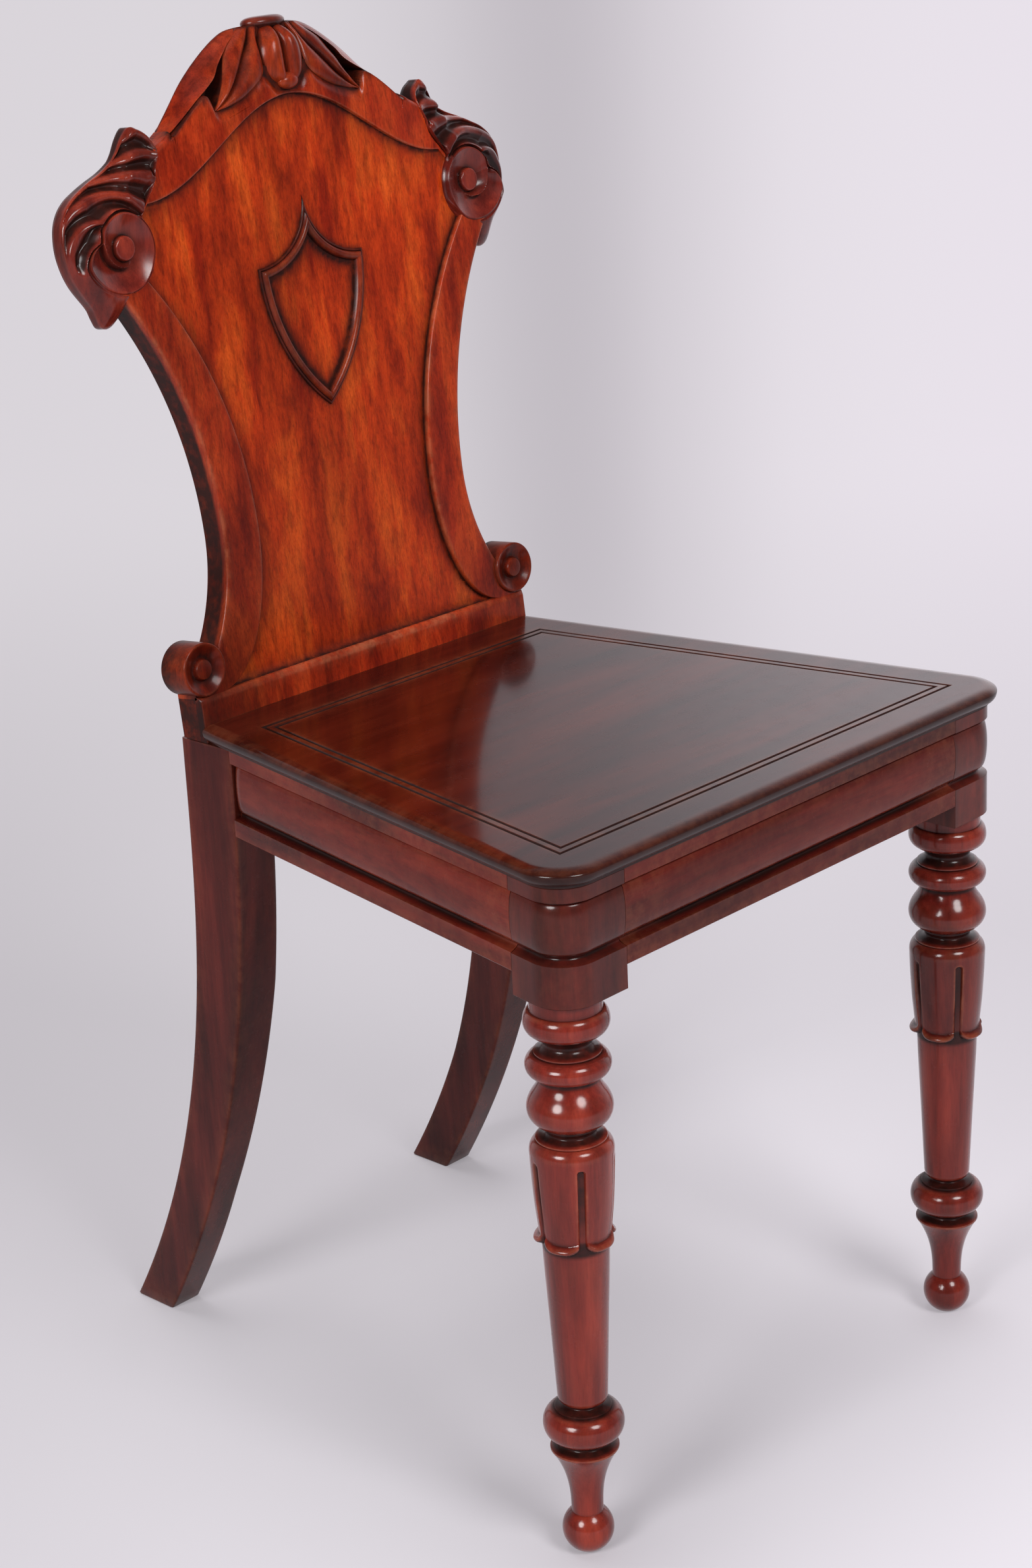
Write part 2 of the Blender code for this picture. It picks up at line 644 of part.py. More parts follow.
def upper_turning():
    """Neck, two rings with a waist between them, bulb, cove and the shaft's shoulder."""
    z = BLOCK_BOTTOM
    points = [(NECK_RADIUS, z + OVERRUN), (NECK_RADIUS, z - NECK_HEIGHT)]
    z -= NECK_HEIGHT
    points += bead(z, RING_HEIGHT, RING_RADIUS, NECK_RADIUS, RING_ROOT_RADIUS, 5)[1:]
    z -= RING_HEIGHT
    waist = WAIST_HEIGHT - 2 * FILLET_HEIGHT
    points += cove(z - FILLET_HEIGHT, waist, BULB_ROOT_RADIUS, WAIST_RADIUS, RING_ROOT_RADIUS)
    z -= WAIST_HEIGHT
    points += bead(z, RING_HEIGHT, RING_RADIUS, RING_ROOT_RADIUS, RING_ROOT_RADIUS, 5)
    z -= RING_HEIGHT + BULB_NECK_HEIGHT
    points += bead(z, BULB_HEIGHT, RING_RADIUS, BULB_ROOT_RADIUS, BULB_ROOT_RADIUS, 6)
    z -= BULB_HEIGHT
    throat = SHOULDER_COVE_RADIUS - FILLET_HEIGHT / 2
    points += cove(z, SHOULDER_COVE_HEIGHT, SHOULDER_COVE_RADIUS, throat, SHOULDER_FILLET_RADIUS)
    for i in range(1, 4):
        angle = math.pi / 2 * i / 3
        radius = SHOULDER_FILLET_RADIUS + (SHAFT_TOP_RADIUS - SHOULDER_FILLET_RADIUS) * math.sin(angle)
        points.append((radius, SHAFT_TOP - SHOULDER_HEIGHT * (1 - math.cos(angle))))
    return points


def lower_turning():
    """Foot of the shaft, ankle cove, bead, flared collar, stem and ball, downwards."""
    points = []
    for i in range(3):
        angle = math.pi / 2 * i / 2
        radius = SHAFT_FOOT_RADIUS - (SHAFT_FOOT_RADIUS - ANKLE_RADIUS) * (1 - math.cos(angle)) * 0.7
        points.append((radius, SHAFT_FOOT + SHAFT_FOOT_ROUND * (1 - math.sin(angle))))
    throat = ANKLE_RADIUS - FILLET_HEIGHT / 2
    points += cove(SHAFT_FOOT, ANKLE_HEIGHT, ANKLE_RADIUS, throat, BEAD_ROOT_RADIUS)[1:]
    bead_top = BEAD_FOOT + BEAD_HEIGHT
    points += bead(bead_top, BEAD_HEIGHT, BEAD_RADIUS, BEAD_ROOT_RADIUS, BEAD_ROOT_RADIUS, 5)[1:]
    for share in (0.25, 0.6):
        radius = COLLAR_NECK_RADIUS + (COLLAR_RIM_RADIUS - COLLAR_NECK_RADIUS) * share**2
        points.append((radius, BEAD_FOOT - COLLAR_DISH_HEIGHT * share))
    points.append((COLLAR_RIM_RADIUS, COLLAR_RIM_HEIGHT))
    stem_foot = BALL_CENTRE_HEIGHT + math.sqrt(BALL_RADIUS**2 - STEM_RADIUS**2)
    for share in (0.06, 0.22, 0.42, 0.70):
        radius = STEM_RADIUS + (COLLAR_RIM_RADIUS - STEM_RADIUS) * (1 - share) ** 2.6
        points.append((radius, COLLAR_RIM_HEIGHT + (stem_foot - COLLAR_RIM_HEIGHT) * share))
    top = math.asin(STEM_RADIUS / BALL_RADIUS)
    foot = math.acos(-BALL_CENTRE_HEIGHT / BALL_RADIUS)
    for i in range(6):
        angle = top + (foot - top) * i / 5
        points.append((BALL_RADIUS * math.sin(angle), BALL_CENTRE_HEIGHT + BALL_RADIUS * math.cos(angle)))
    return points


def shaft_radius(z):
    """The plain tapered shaft under the lappets."""
    top_radius = SHAFT_TOP_RADIUS - LAPPET_PROUD
    return SHAFT_FOOT_RADIUS + (top_radius - SHAFT_FOOT_RADIUS) * (z - SHAFT_FOOT) / (LAPPET_TOP - SHAFT_FOOT)


def lappet_rows():
    """Rows of the carved zone, downwards: plain radius, carved radius, z, and its bend up at a slot."""
    rows = [(SHAFT_TOP_RADIUS, SHAFT_TOP_RADIUS, LAPPET_TOP + LAPPET_LIP_RISE / 2, 0.0)]
    for drop_share, proud_share in ((0.0, 1.0), (0.35, 0.95), (0.70, 0.45)):
        z = LAPPET_TOP - LAPPET_LENGTH * drop_share
        rows.append((shaft_radius(z), shaft_radius(z) + LAPPET_PROUD * proud_share, z, 0.0))
    for drop_share, proud_share in ((0.0, 0.45), (0.35, 0.95), (0.7, 0.9), (1.0, 0.0)):
        z = LAPPET_FOOT + LAPPET_LIP_HEIGHT * (1 - drop_share)
        rows.append((shaft_radius(z), shaft_radius(z) + LAPPET_LIP_PROUD * proud_share, z, LAPPET_LIP_RISE))
    return rows


def leg_columns():
    """Angles round the leg: for each the degrees, how far from a lappet's middle, and if it is in a slot."""
    half = 180.0 / LAPPET_COUNT
    edge = half - SLOT_DEG / 2
    corner = edge * 0.82
    steps = [(-half, True), (-edge - SLOT_WALL_DEG, True), (-edge, False), (-corner, False)]
    steps += [(-half / 2, False), (0.0, False), (half / 2, False)]
    steps += [(corner, False), (edge, False), (edge + SLOT_WALL_DEG, True)]
    return [
        (-90.0 + 2 * half * lappet + offset, abs(offset) / edge, slot)
        for lappet in range(LAPPET_COUNT)
        for offset, slot in steps
    ]


def ring_at(radius_of, columns, centre):
    """One row of the leg, as points at the given columns."""
    points = []
    for degrees, off_centre, slot in columns:
        radius, z = radius_of(off_centre, slot)
        angle = math.radians(degrees)
        points.append((centre[0] + radius * math.cos(angle), centre[1] + radius * math.sin(angle), z))
    return points


def turned_shape(centre):
    """The whole turning. Plain rows use every other column, and the carved rows use all."""
    fine = leg_columns()
    coarse_index = [i for i in range(len(fine)) if i % 10 in (0, 4, 5, 6)]
    coarse = [fine[i] for i in coarse_index]
    shape = bmesh.new()

    def plain(radius, z):
        return [shape.verts.new(point) for point in ring_at(lambda _off, _slot: (radius, z), coarse, centre)]

    def carved(base, proud, z, rise):
        def radius_of(off_centre, slot):
            bend = 1 - math.sqrt(1 - min(off_centre, 1.0) ** 4)
            return (base if slot else proud), z + rise * bend

        return [shape.verts.new(point) for point in ring_at(radius_of, fine, centre)]

    def join(one, two):
        for i in range(len(one)):
            j = (i + 1) % len(one)
            shape.faces.new((one[i], one[j], two[j], two[i]))

    def widen(sparse, dense):
        for i, start in enumerate(coarse_index):
            after = coarse_index[(i + 1) % len(coarse_index)]
            last = after if after > start else after + len(fine)
            span = [dense[k % len(fine)] for k in range(start, last + 1)]
            middle = len(span) // 2
            one, two = sparse[i], sparse[(i + 1) % len(sparse)]
            for k in range(len(span) - 1):
                shape.faces.new((one if k < middle else two, span[k], span[k + 1]))
            shape.faces.new((one, span[middle], two))

    upper = [plain(*point) for point in upper_turning()]
    middle = [carved(*row) for row in lappet_rows()]
    lower = [plain(*point) for point in lower_turning()]
    for rows in (upper, middle, lower):
        for one, two in zip(rows, rows[1:]):
            join(one, two)
    widen(upper[-1], middle[0])
    widen(lower[0], middle[-1])
    shape.faces.new(upper[0])
    shape.faces.new(lower[-1])
    return shape


def block_shape(side):
    """The moulded corner block: the rails' moulding taken round the rounded corner."""
    rings = []
    for outward, drop in moulding(BLOCK_BAND_HEIGHT):
        outline = [(BLOCK_INNER_X, -SEAT_FRAME_DEPTH - outward)] + corner_arc(outward, 7)
        outline += [(side_x(BLOCK_REAR_Y, outward), BLOCK_REAR_Y), (BLOCK_INNER_X, BLOCK_REAR_Y)]
        rings.append([(side * x, y, FRAME_TOP - CLEARANCE - drop) for x, y in outline])
    return loft(rings)


def add_front_leg(side, word, material, root):
    leg = place(f"front_{word}_leg", block_shape(side), material, root, 40.0)
    turning = place(f"front_{word}_turning", turned_shape((side * LEG_X, LEG_Y)), material, root, 40.0)
    combine(leg, turning, "UNION")
    low, high = tenon_levels()
    middle = RAIL_THICKNESS / 2 - SEAT_FRAME_DEPTH
    half = TENON_THICKNESS / 2 + CLEARANCE
    ends = sorted((side * (BLOCK_INNER_X - OVERRUN), side * (BLOCK_INNER_X + TENON_LENGTH + CLEARANCE)))
    corners = (ends[0], middle - half, low - CLEARANCE), (ends[1], middle + half, high + CLEARANCE)
    combine(leg, place(f"front_{word}_mortise", box(*corners), material, root), "DIFFERENCE")
    cutter = side_tenon(side, BLOCK_REAR_Y, CLEARANCE, material, root, f"front_{word}_side_mortise")
    combine(leg, cutter, "DIFFERENCE")


# Rear legs


def add_rear_leg(side, word, material, root):
    rings = []
    steps = 14
    for i in range(steps + 1):
        z = (FRAME_TOP - CLEARANCE) * i / steps
        bend = max(1 - z / REAR_LEG_BEND_HEIGHT, 0.0)
        front = REAR_LEG_TOP_FRONT + REAR_LEG_FRONT_SWEEP * bend**FRONT_SWEEP_POWER
        rear = REAR_LEG_TOP_BACK + REAR_LEG_BACK_SWEEP * bend**BACK_SWEEP_POWER
        taper = min(max((bend - 0.35) / 0.4, 0.0), 1.0)
        width = REAR_LEG_TOP_WIDTH + (REAR_LEG_FOOT_WIDTH - REAR_LEG_TOP_WIDTH) * taper
        inner = REAR_LEG_OUTER - width
        corners = ((inner, front), (REAR_LEG_OUTER, front), (REAR_LEG_OUTER, rear), (inner, rear))
        rings.append([(side * x, y, z) for x, y in corners])
    leg = place(f"rear_{word}_leg", loft(rings), material, root, 30.0)
    soften(leg, REAR_LEG_EDGE)
    cutter = side_tenon(side, REAR_LEG_TOP_FRONT, CLEARANCE, material, root, f"rear_{word}_side_mortise")
    combine(leg, cutter, "DIFFERENCE")
    combine(leg, back_tenon(side, CLEARANCE, material, root), "DIFFERENCE")


# The back, in its raked plane

SCROLL_LEVEL = BACK_HEIGHT - SCROLL_FALL
ARCH_LEVEL = BACK_HEIGHT - ARCH_FALL
SHIELD_TIP_LEVEL = BACK_HEIGHT - SHIELD_TIP_FALL
SHIELD_SHOULDER_LEVEL = SHIELD_TIP_LEVEL - SHIELD_TIP_HEIGHT


def hollow_radius(width):
    """Radius of the upright arc that widens by this much from the waist to the shoulder scrolls."""
    return ((SCROLL_LEVEL - WAIST_LEVEL) ** 2 + width**2) / (2 * width)


OUTER_UPPER_RADIUS = hollow_radius(SHOULDER_HALF_WIDTH - WAIST_HALF_WIDTH)
INNER_UPPER_RADIUS = hollow_radius(FIELD_SHOULDER_HALF_WIDTH - WAIST_HALF_WIDTH + STILE_WAIST_WIDTH)


def foot_level(depth):
    """The level where the back meets the top of the seat frame, at a depth behind its face."""
    rake = math.radians(RAKE_DEG)
    return (CLEARANCE - SEAT_THICKNESS + depth * math.sin(rake)) / math.cos(rake)


def outer_edge(level):
    """Half the width of the back: one arc above the waist, a tighter one below."""
    radius = OUTER_UPPER_RADIUS if level > WAIST_LEVEL else OUTER_LOWER_RADIUS
    rise = min(abs(level - WAIST_LEVEL), radius)
    return WAIST_HALF_WIDTH + radius - math.sqrt(radius**2 - rise**2)


def inner_edge(level):
    """Half the width of the sunk field: an arc above the waist, a quarter ellipse below it."""
    waist = WAIST_HALF_WIDTH - STILE_WAIST_WIDTH
    if level > WAIST_LEVEL:
        rise = level - WAIST_LEVEL
        return waist + INNER_UPPER_RADIUS - math.sqrt(INNER_UPPER_RADIUS**2 - rise**2)
    share = min((WAIST_LEVEL - level) / (WAIST_LEVEL - BOTTOM_RAIL_HEIGHT + CLEARANCE), 1.0)
    return waist + INNER_LOWER_WIDTH * (1 - math.sqrt(1 - share**2))


def arch(across):
    """The ogee arch over the field."""
    return ARCH_LEVEL + ARCH_RISE * (1 + math.cos(math.pi * min(abs(across) / ARCH_HALF_WIDTH, 1.0))) / 2


def crest_outline(across):
    share = abs(across) / CREST_HALF_WIDTH
    return BACK_HEIGHT - CREST_FALL * smooth_table(CREST_OUTLINE_SHARES, share)


def crest_joint(across):
    """The joint under the crest block: it follows the arch and then runs level."""
    return max(arch(across) + CREST_JOINT_RISE, BACK_HEIGHT - CREST_JOINT_FALL)


def scroll_angles():
    """Angles round a shoulder scroll, closest together at the curled leaf top."""
    angles = [-90.0, -85.0, -79.0, -71.0, -66.0, -58.0, -46.0, -32.0, -18.0]
    angles += [-6.0 + 10.0 * i for i in range(10)]
    angles += [91.0, 98.0, 102.0, 105.0, 107.5, 110.0, 114.0, 119.0, 122.5, 126.0, 128.0, 131.0, 134.0]
    angles += [140.0 + 18.0 * i for i in range(7)]
    return angles


def scroll_point(degrees, share):
    """A place on the right shoulder scroll, at a share of its reach from the eye."""
    angle = math.radians(degrees)
    radius = SCROLL_REACH * share
    return SCROLL_ACROSS + radius * math.cos(angle), SCROLL_LEVEL + radius * math.sin(angle)


def scroll_outline():
    reach = [(degrees, smooth_table(SCROLL_OUTLINE_SHARES, degrees)) for degrees in scroll_angles()]
    return [scroll_point(degrees, share) for degrees, share in reach]


def scroll_depth(degrees, share, spiral, outline):
    """Depth behind the back's face of the carved surface outside the spiral's rim, before it is fluted."""
    edge = BACK_THICKNESS * smooth_table(SCROLL_EDGE_SHARES, degrees)
    across = (share - spiral) / (outline - spiral)
    return -SCROLL_RIM_PROUD + (edge + SCROLL_RIM_PROUD) * across**1.7


def flute_rows(degrees, spiral, outline):
    """Places across the flutes at one angle, as (share, depth): trench, then ridges with valleys between."""
    step = (outline - spiral) / 24
    ridges = []
    for i, rows in enumerate(FLUTE_RIDGE_SHARES):
        low = spiral + step * (3 + 2 * i)
        high = outline - step * (2 * (len(FLUTE_RIDGE_SHARES) - i) - 1)
        ridges.append(min(max(smooth_table(rows, degrees), low), high))
    room = min((ridges[0] - spiral) * SCROLL_REACH / SCROLL_TRENCH_WIDTH, 1.0)
    trench = spiral + (ridges[0] - spiral) * 0.45
    places = [(trench, scroll_depth(degrees, trench, spiral, outline) + SCROLL_TRENCH_DEPTH * room)]
    for i, ridge in enumerate(ridges):
        places.append((ridge, scroll_depth(degrees, ridge, spiral, outline)))
        if i + 1 < len(ridges):
            valley = (ridge + ridges[i + 1]) / 2
            room = min((ridges[i + 1] - ridge) * SCROLL_REACH / FLUTE_DEPTH, 1.0)
            if room < 0.6:
                room = room / 2
            room *= min(max((degrees + 40.0) / 20.0, 0.0), 1.0)
            places.append((valley, scroll_depth(degrees, valley, spiral, outline) + FLUTE_DEPTH * room))
    return places


def scroll_shape(side):
    """Eye, dished disc, spiral rim and flutes as rings about the eye, down to the flat back."""
    eye = SCROLL_EYE_RADIUS / SCROLL_REACH
    columns = []
    for degrees in scroll_angles():
        spiral = smooth_table(SPIRAL_SHARES, degrees)
        outline = smooth_table(SCROLL_OUTLINE_SHARES, degrees)
        floor = SCROLL_DISH_DEPTH - SCROLL_RIM_PROUD
        column = [(eye * 0.9, -SCROLL_EYE_PROUD), (eye, floor * 0.6), (eye + (spiral - eye) * 0.5, floor)]
        column += [(eye + (spiral - eye) * 0.92, -SCROLL_RIM_PROUD), (spiral, -SCROLL_RIM_PROUD)]
        column += flute_rows(degrees, spiral, outline)
        column += [(outline, scroll_depth(degrees, outline, spiral, outline)), (outline, BACK_THICKNESS)]
        columns.append([(scroll_point(degrees, share), depth) for share, depth in column])
    rings = []
    for row in zip(*columns):
        rings.append([(side * x, depth, z) for (x, z), depth in row])
    return loft(rings)


def add_scroll(side, word, material, back):
    scroll = place(f"{word}_shoulder_scroll", scroll_shape(side), material, back, 50.0)
    combine(scroll, shoulder_dowel(side, CLEARANCE, material, back), "DIFFERENCE")


def scroll_space(side, material, back):
    """The room that a shoulder scroll takes out of the board and its border."""
    outline = [(side * x, z) for x, z in grown(scroll_outline(), CLEARANCE)]
    shape = slab(outline, -OVERRUN, BACK_THICKNESS + OVERRUN)
    return place(f"scroll_space_{side}", shape, material, back)


def crest_edge(x, z):
    """How far a place on the crest is from its outline."""
    samples = [CREST_HALF_WIDTH * (i / 30 - 1.1) for i in range(67)]
    return min(math.hypot(x - a, z - crest_outline(a)) for a in samples)


def crest_depth(x, z):
    """Depth behind the face of the crest: nearly flat inside, rolling back to its outline."""
    return CREST_FACE_DEPTH + CREST_ROLL_DEPTH * math.exp(-crest_edge(x, z) / CREST_ROLL_WIDTH)


CREST_COLUMNS = 34
CREST_ROW_SHARES = (0.0, 0.25, 0.5, 0.72, 0.88, 1.0)


def crest_sheet():
    """Rows of (across, level) over the crest block, from its joint up to its outline."""
    columns = [CREST_HALF_WIDTH * (2 * i / CREST_COLUMNS - 1) for i in range(CREST_COLUMNS + 1)]
    rows = []
    for share in CREST_ROW_SHARES:
        rows.append([(x, crest_joint(x) + (crest_outline(x) - crest_joint(x)) * share) for x in columns])
    return rows


def sheet_rim(rows):
    """The places round the edge of a sheet, once round."""
    rim = list(rows[0]) + [row[-1] for row in rows[1:-1]] + list(reversed(rows[-1]))
    return rim + [row[0] for row in reversed(rows[1:-1])]


def edge_stations(rows):
    """Near and far edge of a leaf at each station, from its table of shares."""
    stations = []
    for near_x, near_fall, far_x, far_fall in rows:
        near = (CREST_HALF_WIDTH * near_x, BACK_HEIGHT - LEAF_FALL * near_fall)
        far = (CREST_HALF_WIDTH * far_x, BACK_HEIGHT - LEAF_FALL * far_fall)
        stations.append((near, far))
    return stations


def inner_leaf_stations():
    return edge_stations(INNER_LEAF_SHARES)


def bud_stations():
    return edge_stations(BUD_SHARES)


def outer_leaf_stations():
    """The outer leaf runs along the outline and keeps its width square to it."""
    stations = []
    for across_share, width_share in OUTER_LEAF_SHARES:
        x = CREST_HALF_WIDTH * across_share
        step = CREST_HALF_WIDTH / 50
        slope = (crest_outline(x + step) - crest_outline(x - step)) / (2 * step)
        inward = Vector((slope, -1.0)).normalized()
        far = (x + inward.x * LEAF_ROOT / 3, crest_outline(x) + inward.y * LEAF_ROOT / 3)
        width = OUTER_LEAF_WIDTH * width_share
        stations.append(((far[0] + inward.x * width, far[1] + inward.y * width), far))
    return stations


def leaf_shape(stations, height, side):
    """A leaf laid on the crest: two raised edges, a hollow between them, and a root sunk in the crest."""
    section = ((0.0, -1.0), (0.0, 0.25), (0.14, 1.0), (0.5, 0.35), (0.86, 0.9), (1.0, 0.2), (1.0, -1.0))
    rings = []
    for (near_x, near_z), (far_x, far_z) in stations:
        ring = []
        for across, raised in section:
            x = near_x + (far_x - near_x) * across
            z = near_z + (far_z - near_z) * across
            lift = height * raised if raised > 0 else -LEAF_ROOT
            ring.append((side * x, crest_depth(x, z) - lift, z))
        rings.append(ring)
    return loft(rings)


def bud_tip(material, back):
    """The small ball under the bud."""
    level = BACK_HEIGHT - BUD_TIP_FALL
    rings = []
    for degrees in (-70.0, -35.0, 0.0, 35.0, 70.0):
        angle = math.radians(degrees)
        ring = arc((0.0, 0.0), BUD_TIP_RADIUS * math.cos(angle), 0.0, 360.0, 10)[:-1]
        depth = CREST_FACE_DEPTH + BUD_TIP_RADIUS * math.sin(angle)
        rings.append([(x, depth, level + z * 0.7) for x, z in ring])
    return place("bud_tip", loft(rings), material, back, 60.0)


def add_crest_carving(material, back):
    sheet = crest_sheet()
    shape = bmesh.new()
    rows = [[shape.verts.new((x, crest_depth(x, z), z)) for x, z in row] for row in sheet]
    for one, two in zip(rows, rows[1:]):
        for i in range(len(one) - 1):
            shape.faces.new((one[i], one[i + 1], two[i + 1], two[i]))
    rim = sheet_rim(rows)
    rear = [shape.verts.new((vert.co.x, BACK_THICKNESS, vert.co.z)) for vert in rim]
    for i in range(len(rim)):
        j = (i + 1) % len(rim)
        shape.faces.new((rim[i], rim[j], rear[j], rear[i]))
    shape.faces.new(rear)
    carving = place("crest_carving", shape, material, back, 45.0)
    for side in (-1, 1):
        for name, stations in (("inner_leaf", inner_leaf_stations()), ("outer_leaf", outer_leaf_stations())):
            leaf = place(f"{name}_{side}", leaf_shape(stations, LEAF_HEIGHT, side), material, back, 40.0)
            combine(carving, leaf, "UNION")
    bud = place("bud", leaf_shape(bud_stations(), BUD_HEIGHT, 1), material, back, 40.0)
    combine(carving, bud, "UNION")
    combine(carving, bud_tip(material, back), "UNION")
    for side in (-1, 1):
        combine(carving, crest_dowel(side, CLEARANCE, material, back), "DIFFERENCE")
    combine(carving, cap_peg("cap_mortise", CLEARANCE, material, back), "DIFFERENCE")


def crest_space(material, back):
    """The room that the crest block takes out of the board and its border."""
    outline = grown(sheet_rim(crest_sheet()), CLEARANCE)
    return place("crest_space", slab(outline, -OVERRUN, BACK_THICKNESS + OVERRUN), material, back)


def cap_peg(name, room, material, back):
    ring = arc((0.0, CAP_CENTRE_DEPTH), CAP_PEG_RADIUS + room, 0.0, 360.0, 10)[:-1]
    foot = BACK_HEIGHT - CAP_PEG_LENGTH - room
    top = BACK_HEIGHT + CAP_HEIGHT / 2
    return place(name, loft([[(x, y, z) for x, y in ring] for z in (foot, top)]), material, back)


def add_crest_cap(material, back):
    """A flat oval button with rounded edges, pegged into the crest."""
    foot = BACK_HEIGHT + CLEARANCE
    rings = []
    for degrees in (-62.0, -38.0, -12.0, 14.0, 42.0, 66.0):
        angle = math.radians(degrees)
        level = foot + CAP_HEIGHT * (1 + math.sin(angle) / math.sin(math.radians(66.0))) / 2
        inset = CAP_HEIGHT * (1 - math.cos(angle)) * 0.9
        ring = arc((0.0, 0.0), 1.0, 0.0, 360.0, 24)[:-1]
        width, depth = CAP_HALF_WIDTH - inset, CAP_HALF_DEPTH - inset
        rings.append([(width * x, CAP_CENTRE_DEPTH + depth * y, level) for x, y in ring])
    rings[0] = [(x, y, foot) for x, y, _z in rings[0]]
    cap = place("crest_cap", loft(rings), material, back, 60.0)
    combine(cap, cap_peg("cap_peg", 0.0, material, back), "UNION")


def volute_space(side, material, back):
    circle = arc((side * VOLUTE_ACROSS, VOLUTE_LEVEL), VOLUTE_RADIUS + CLEARANCE, 0.0, 360.0, 24)[:-1]
    return place(f"volute_space_{side}", slab(circle, -OVERRUN, BACK_THICKNESS + OVERRUN), material, back)


def beside_crest():
    """The outline's run from shoulder scroll to crest block, then just above its joint to the middle."""
    points = []
    for i in range(7):
        across = CREST_HALF_WIDTH * (1.16 - 0.16 * i / 6)
        points.append((across, crest_outline(across)))
    for i in range(16):
        across = CREST_HALF_WIDTH * (1 - i / 16)
        points.append((across, crest_joint(across) + CREST_JOINT_RISE / 2))
    return points


def board_outline():
    """The board's plain outline. Scrolls, volutes and crest are then cut out of it."""
    right = [(BACK_FOOT_HALF_WIDTH, foot_level(0.0)), (BACK_FOOT_HALF_WIDTH, VOLUTE_LEVEL)]
    levels = [VOLUTE_LEVEL + (SCROLL_LEVEL - VOLUTE_LEVEL) * i / 16 for i in range(1, 17)]
    start = VOLUTE_LEVEL + VOLUTE_RADIUS / 2
    right.append((outer_edge(start), VOLUTE_LEVEL))
    right += [(outer_edge(level), level) for level in levels if level > start]
    right.append((SCROLL_ACROSS, SCROLL_LEVEL + SCROLL_REACH * 0.8))
    right += beside_crest()
    return right + [(-x, z) for x, z in reversed(right)]


def add_back_board(material, back):
    outline = board_outline()
    front = [(x, FIELD_DEPTH, z) for x, z in outline]
    rear = [(x, BACK_THICKNESS, z) for x, z in outline]
    low = foot_level(0.0)
    front = [(x, y, foot_level(y) if z == low else z) for x, y, z in front]
    rear = [(x, y, foot_level(y) if z == low else z) for x, y, z in rear]
    board = place("back_board", loft([front, rear]), material, back, 40.0)
    for tenon in board_tenons(0.0, material, back):
        combine(board, tenon, "UNION")
    combine(board, crest_space(material, back), "DIFFERENCE")
    for side in (-1, 1):
        combine(board, scroll_space(side, material, back), "DIFFERENCE")
        combine(board, volute_space(side, material, back), "DIFFERENCE")
        combine(board, crest_dowel(side, CLEARANCE, material, back), "DIFFERENCE")
        combine(board, shoulder_dowel(side, CLEARANCE, material, back), "DIFFERENCE")


def add_bottom_rail(material, back):
    rear = FIELD_DEPTH - CLEARANCE
    ring = [
        (0.0, foot_level(0.0)),
        (0.0, BOTTOM_RAIL_HEIGHT),
        (rear, BOTTOM_RAIL_HEIGHT),
        (rear, foot_level(rear)),
    ]
    ends = (-BACK_FOOT_HALF_WIDTH, BACK_FOOT_HALF_WIDTH)
    place("back_bottom_rail", loft([[(x, y, z) for y, z in ring] for x in ends]), material, back)


def volute_shape(side):
    """The lower volute: eye, dish, rim and a plain drum back to the board's back."""
    centre = (side * VOLUTE_ACROSS, VOLUTE_LEVEL)
    levels = (
        (VOLUTE_EYE_RADIUS * 0.9, VOLUTE_RIM_WIDTH / 3 - VOLUTE_PROUD),
        (VOLUTE_EYE_RADIUS, VOLUTE_DISH_DEPTH * 0.6 - VOLUTE_PROUD),
        ((VOLUTE_EYE_RADIUS + VOLUTE_RADIUS) / 2, VOLUTE_DISH_DEPTH - VOLUTE_PROUD),
        (VOLUTE_RADIUS - 2 * VOLUTE_RIM_WIDTH, VOLUTE_DISH_DEPTH / 3 - VOLUTE_PROUD),
        (VOLUTE_RADIUS - VOLUTE_RIM_WIDTH, -VOLUTE_PROUD),
        (VOLUTE_RADIUS, VOLUTE_RIM_WIDTH / 2 - VOLUTE_PROUD),
        (VOLUTE_RADIUS, BACK_THICKNESS),
    )
    rings = []
    for radius, depth in levels:
        rings.append([(x, depth, z) for x, z in arc(centre, radius, 0.0, 360.0, 24)[:-1]])
    return loft(rings)


def stile_outline(side):
    """Outer edge upwards, then the field's edge downwards."""
    top = SCROLL_LEVEL
    foot = BOTTOM_RAIL_HEIGHT + CLEARANCE
    start = VOLUTE_LEVEL + VOLUTE_RADIUS / 2
    steps = 16
    levels = [start + (top - start) * i / steps for i in range(steps + 1)]
    outer = [(outer_edge(level), level) for level in levels]
    inner_steps = 20
    inner = []
    for i in range(inner_steps + 1):
        level = foot + (top - foot) * (1 - i / inner_steps) ** 1.3
        inner.append((inner_edge(level), level))
    inner_x = VOLUTE_ACROSS - VOLUTE_RADIUS / 3
    points = [(inner_x, foot), (inner_x, start - CLEARANCE)]
    return [(side * x, z) for x, z in points + outer + inner]


def add_stile(side, word, material, back):
    shape = slab(stile_outline(side), STILE_DEPTH, FIELD_DEPTH - CLEARANCE)
    stile = place(f"{word}_back_stile", shape, material, back, 40.0)
    volute = place(f"{word}_volute", volute_shape(side), material, back, 40.0)
    combine(stile, volute, "UNION")
    combine(stile, scroll_space(side, material, back), "DIFFERENCE")


def crest_rail_depth(across):
    """The rail's face falls back a little towards its ends."""
    return CREST_RAIL_DEPTH + CREST_RAIL_FALL * min(abs(across) / (CREST_HALF_WIDTH * 1.16), 1.0) ** 3


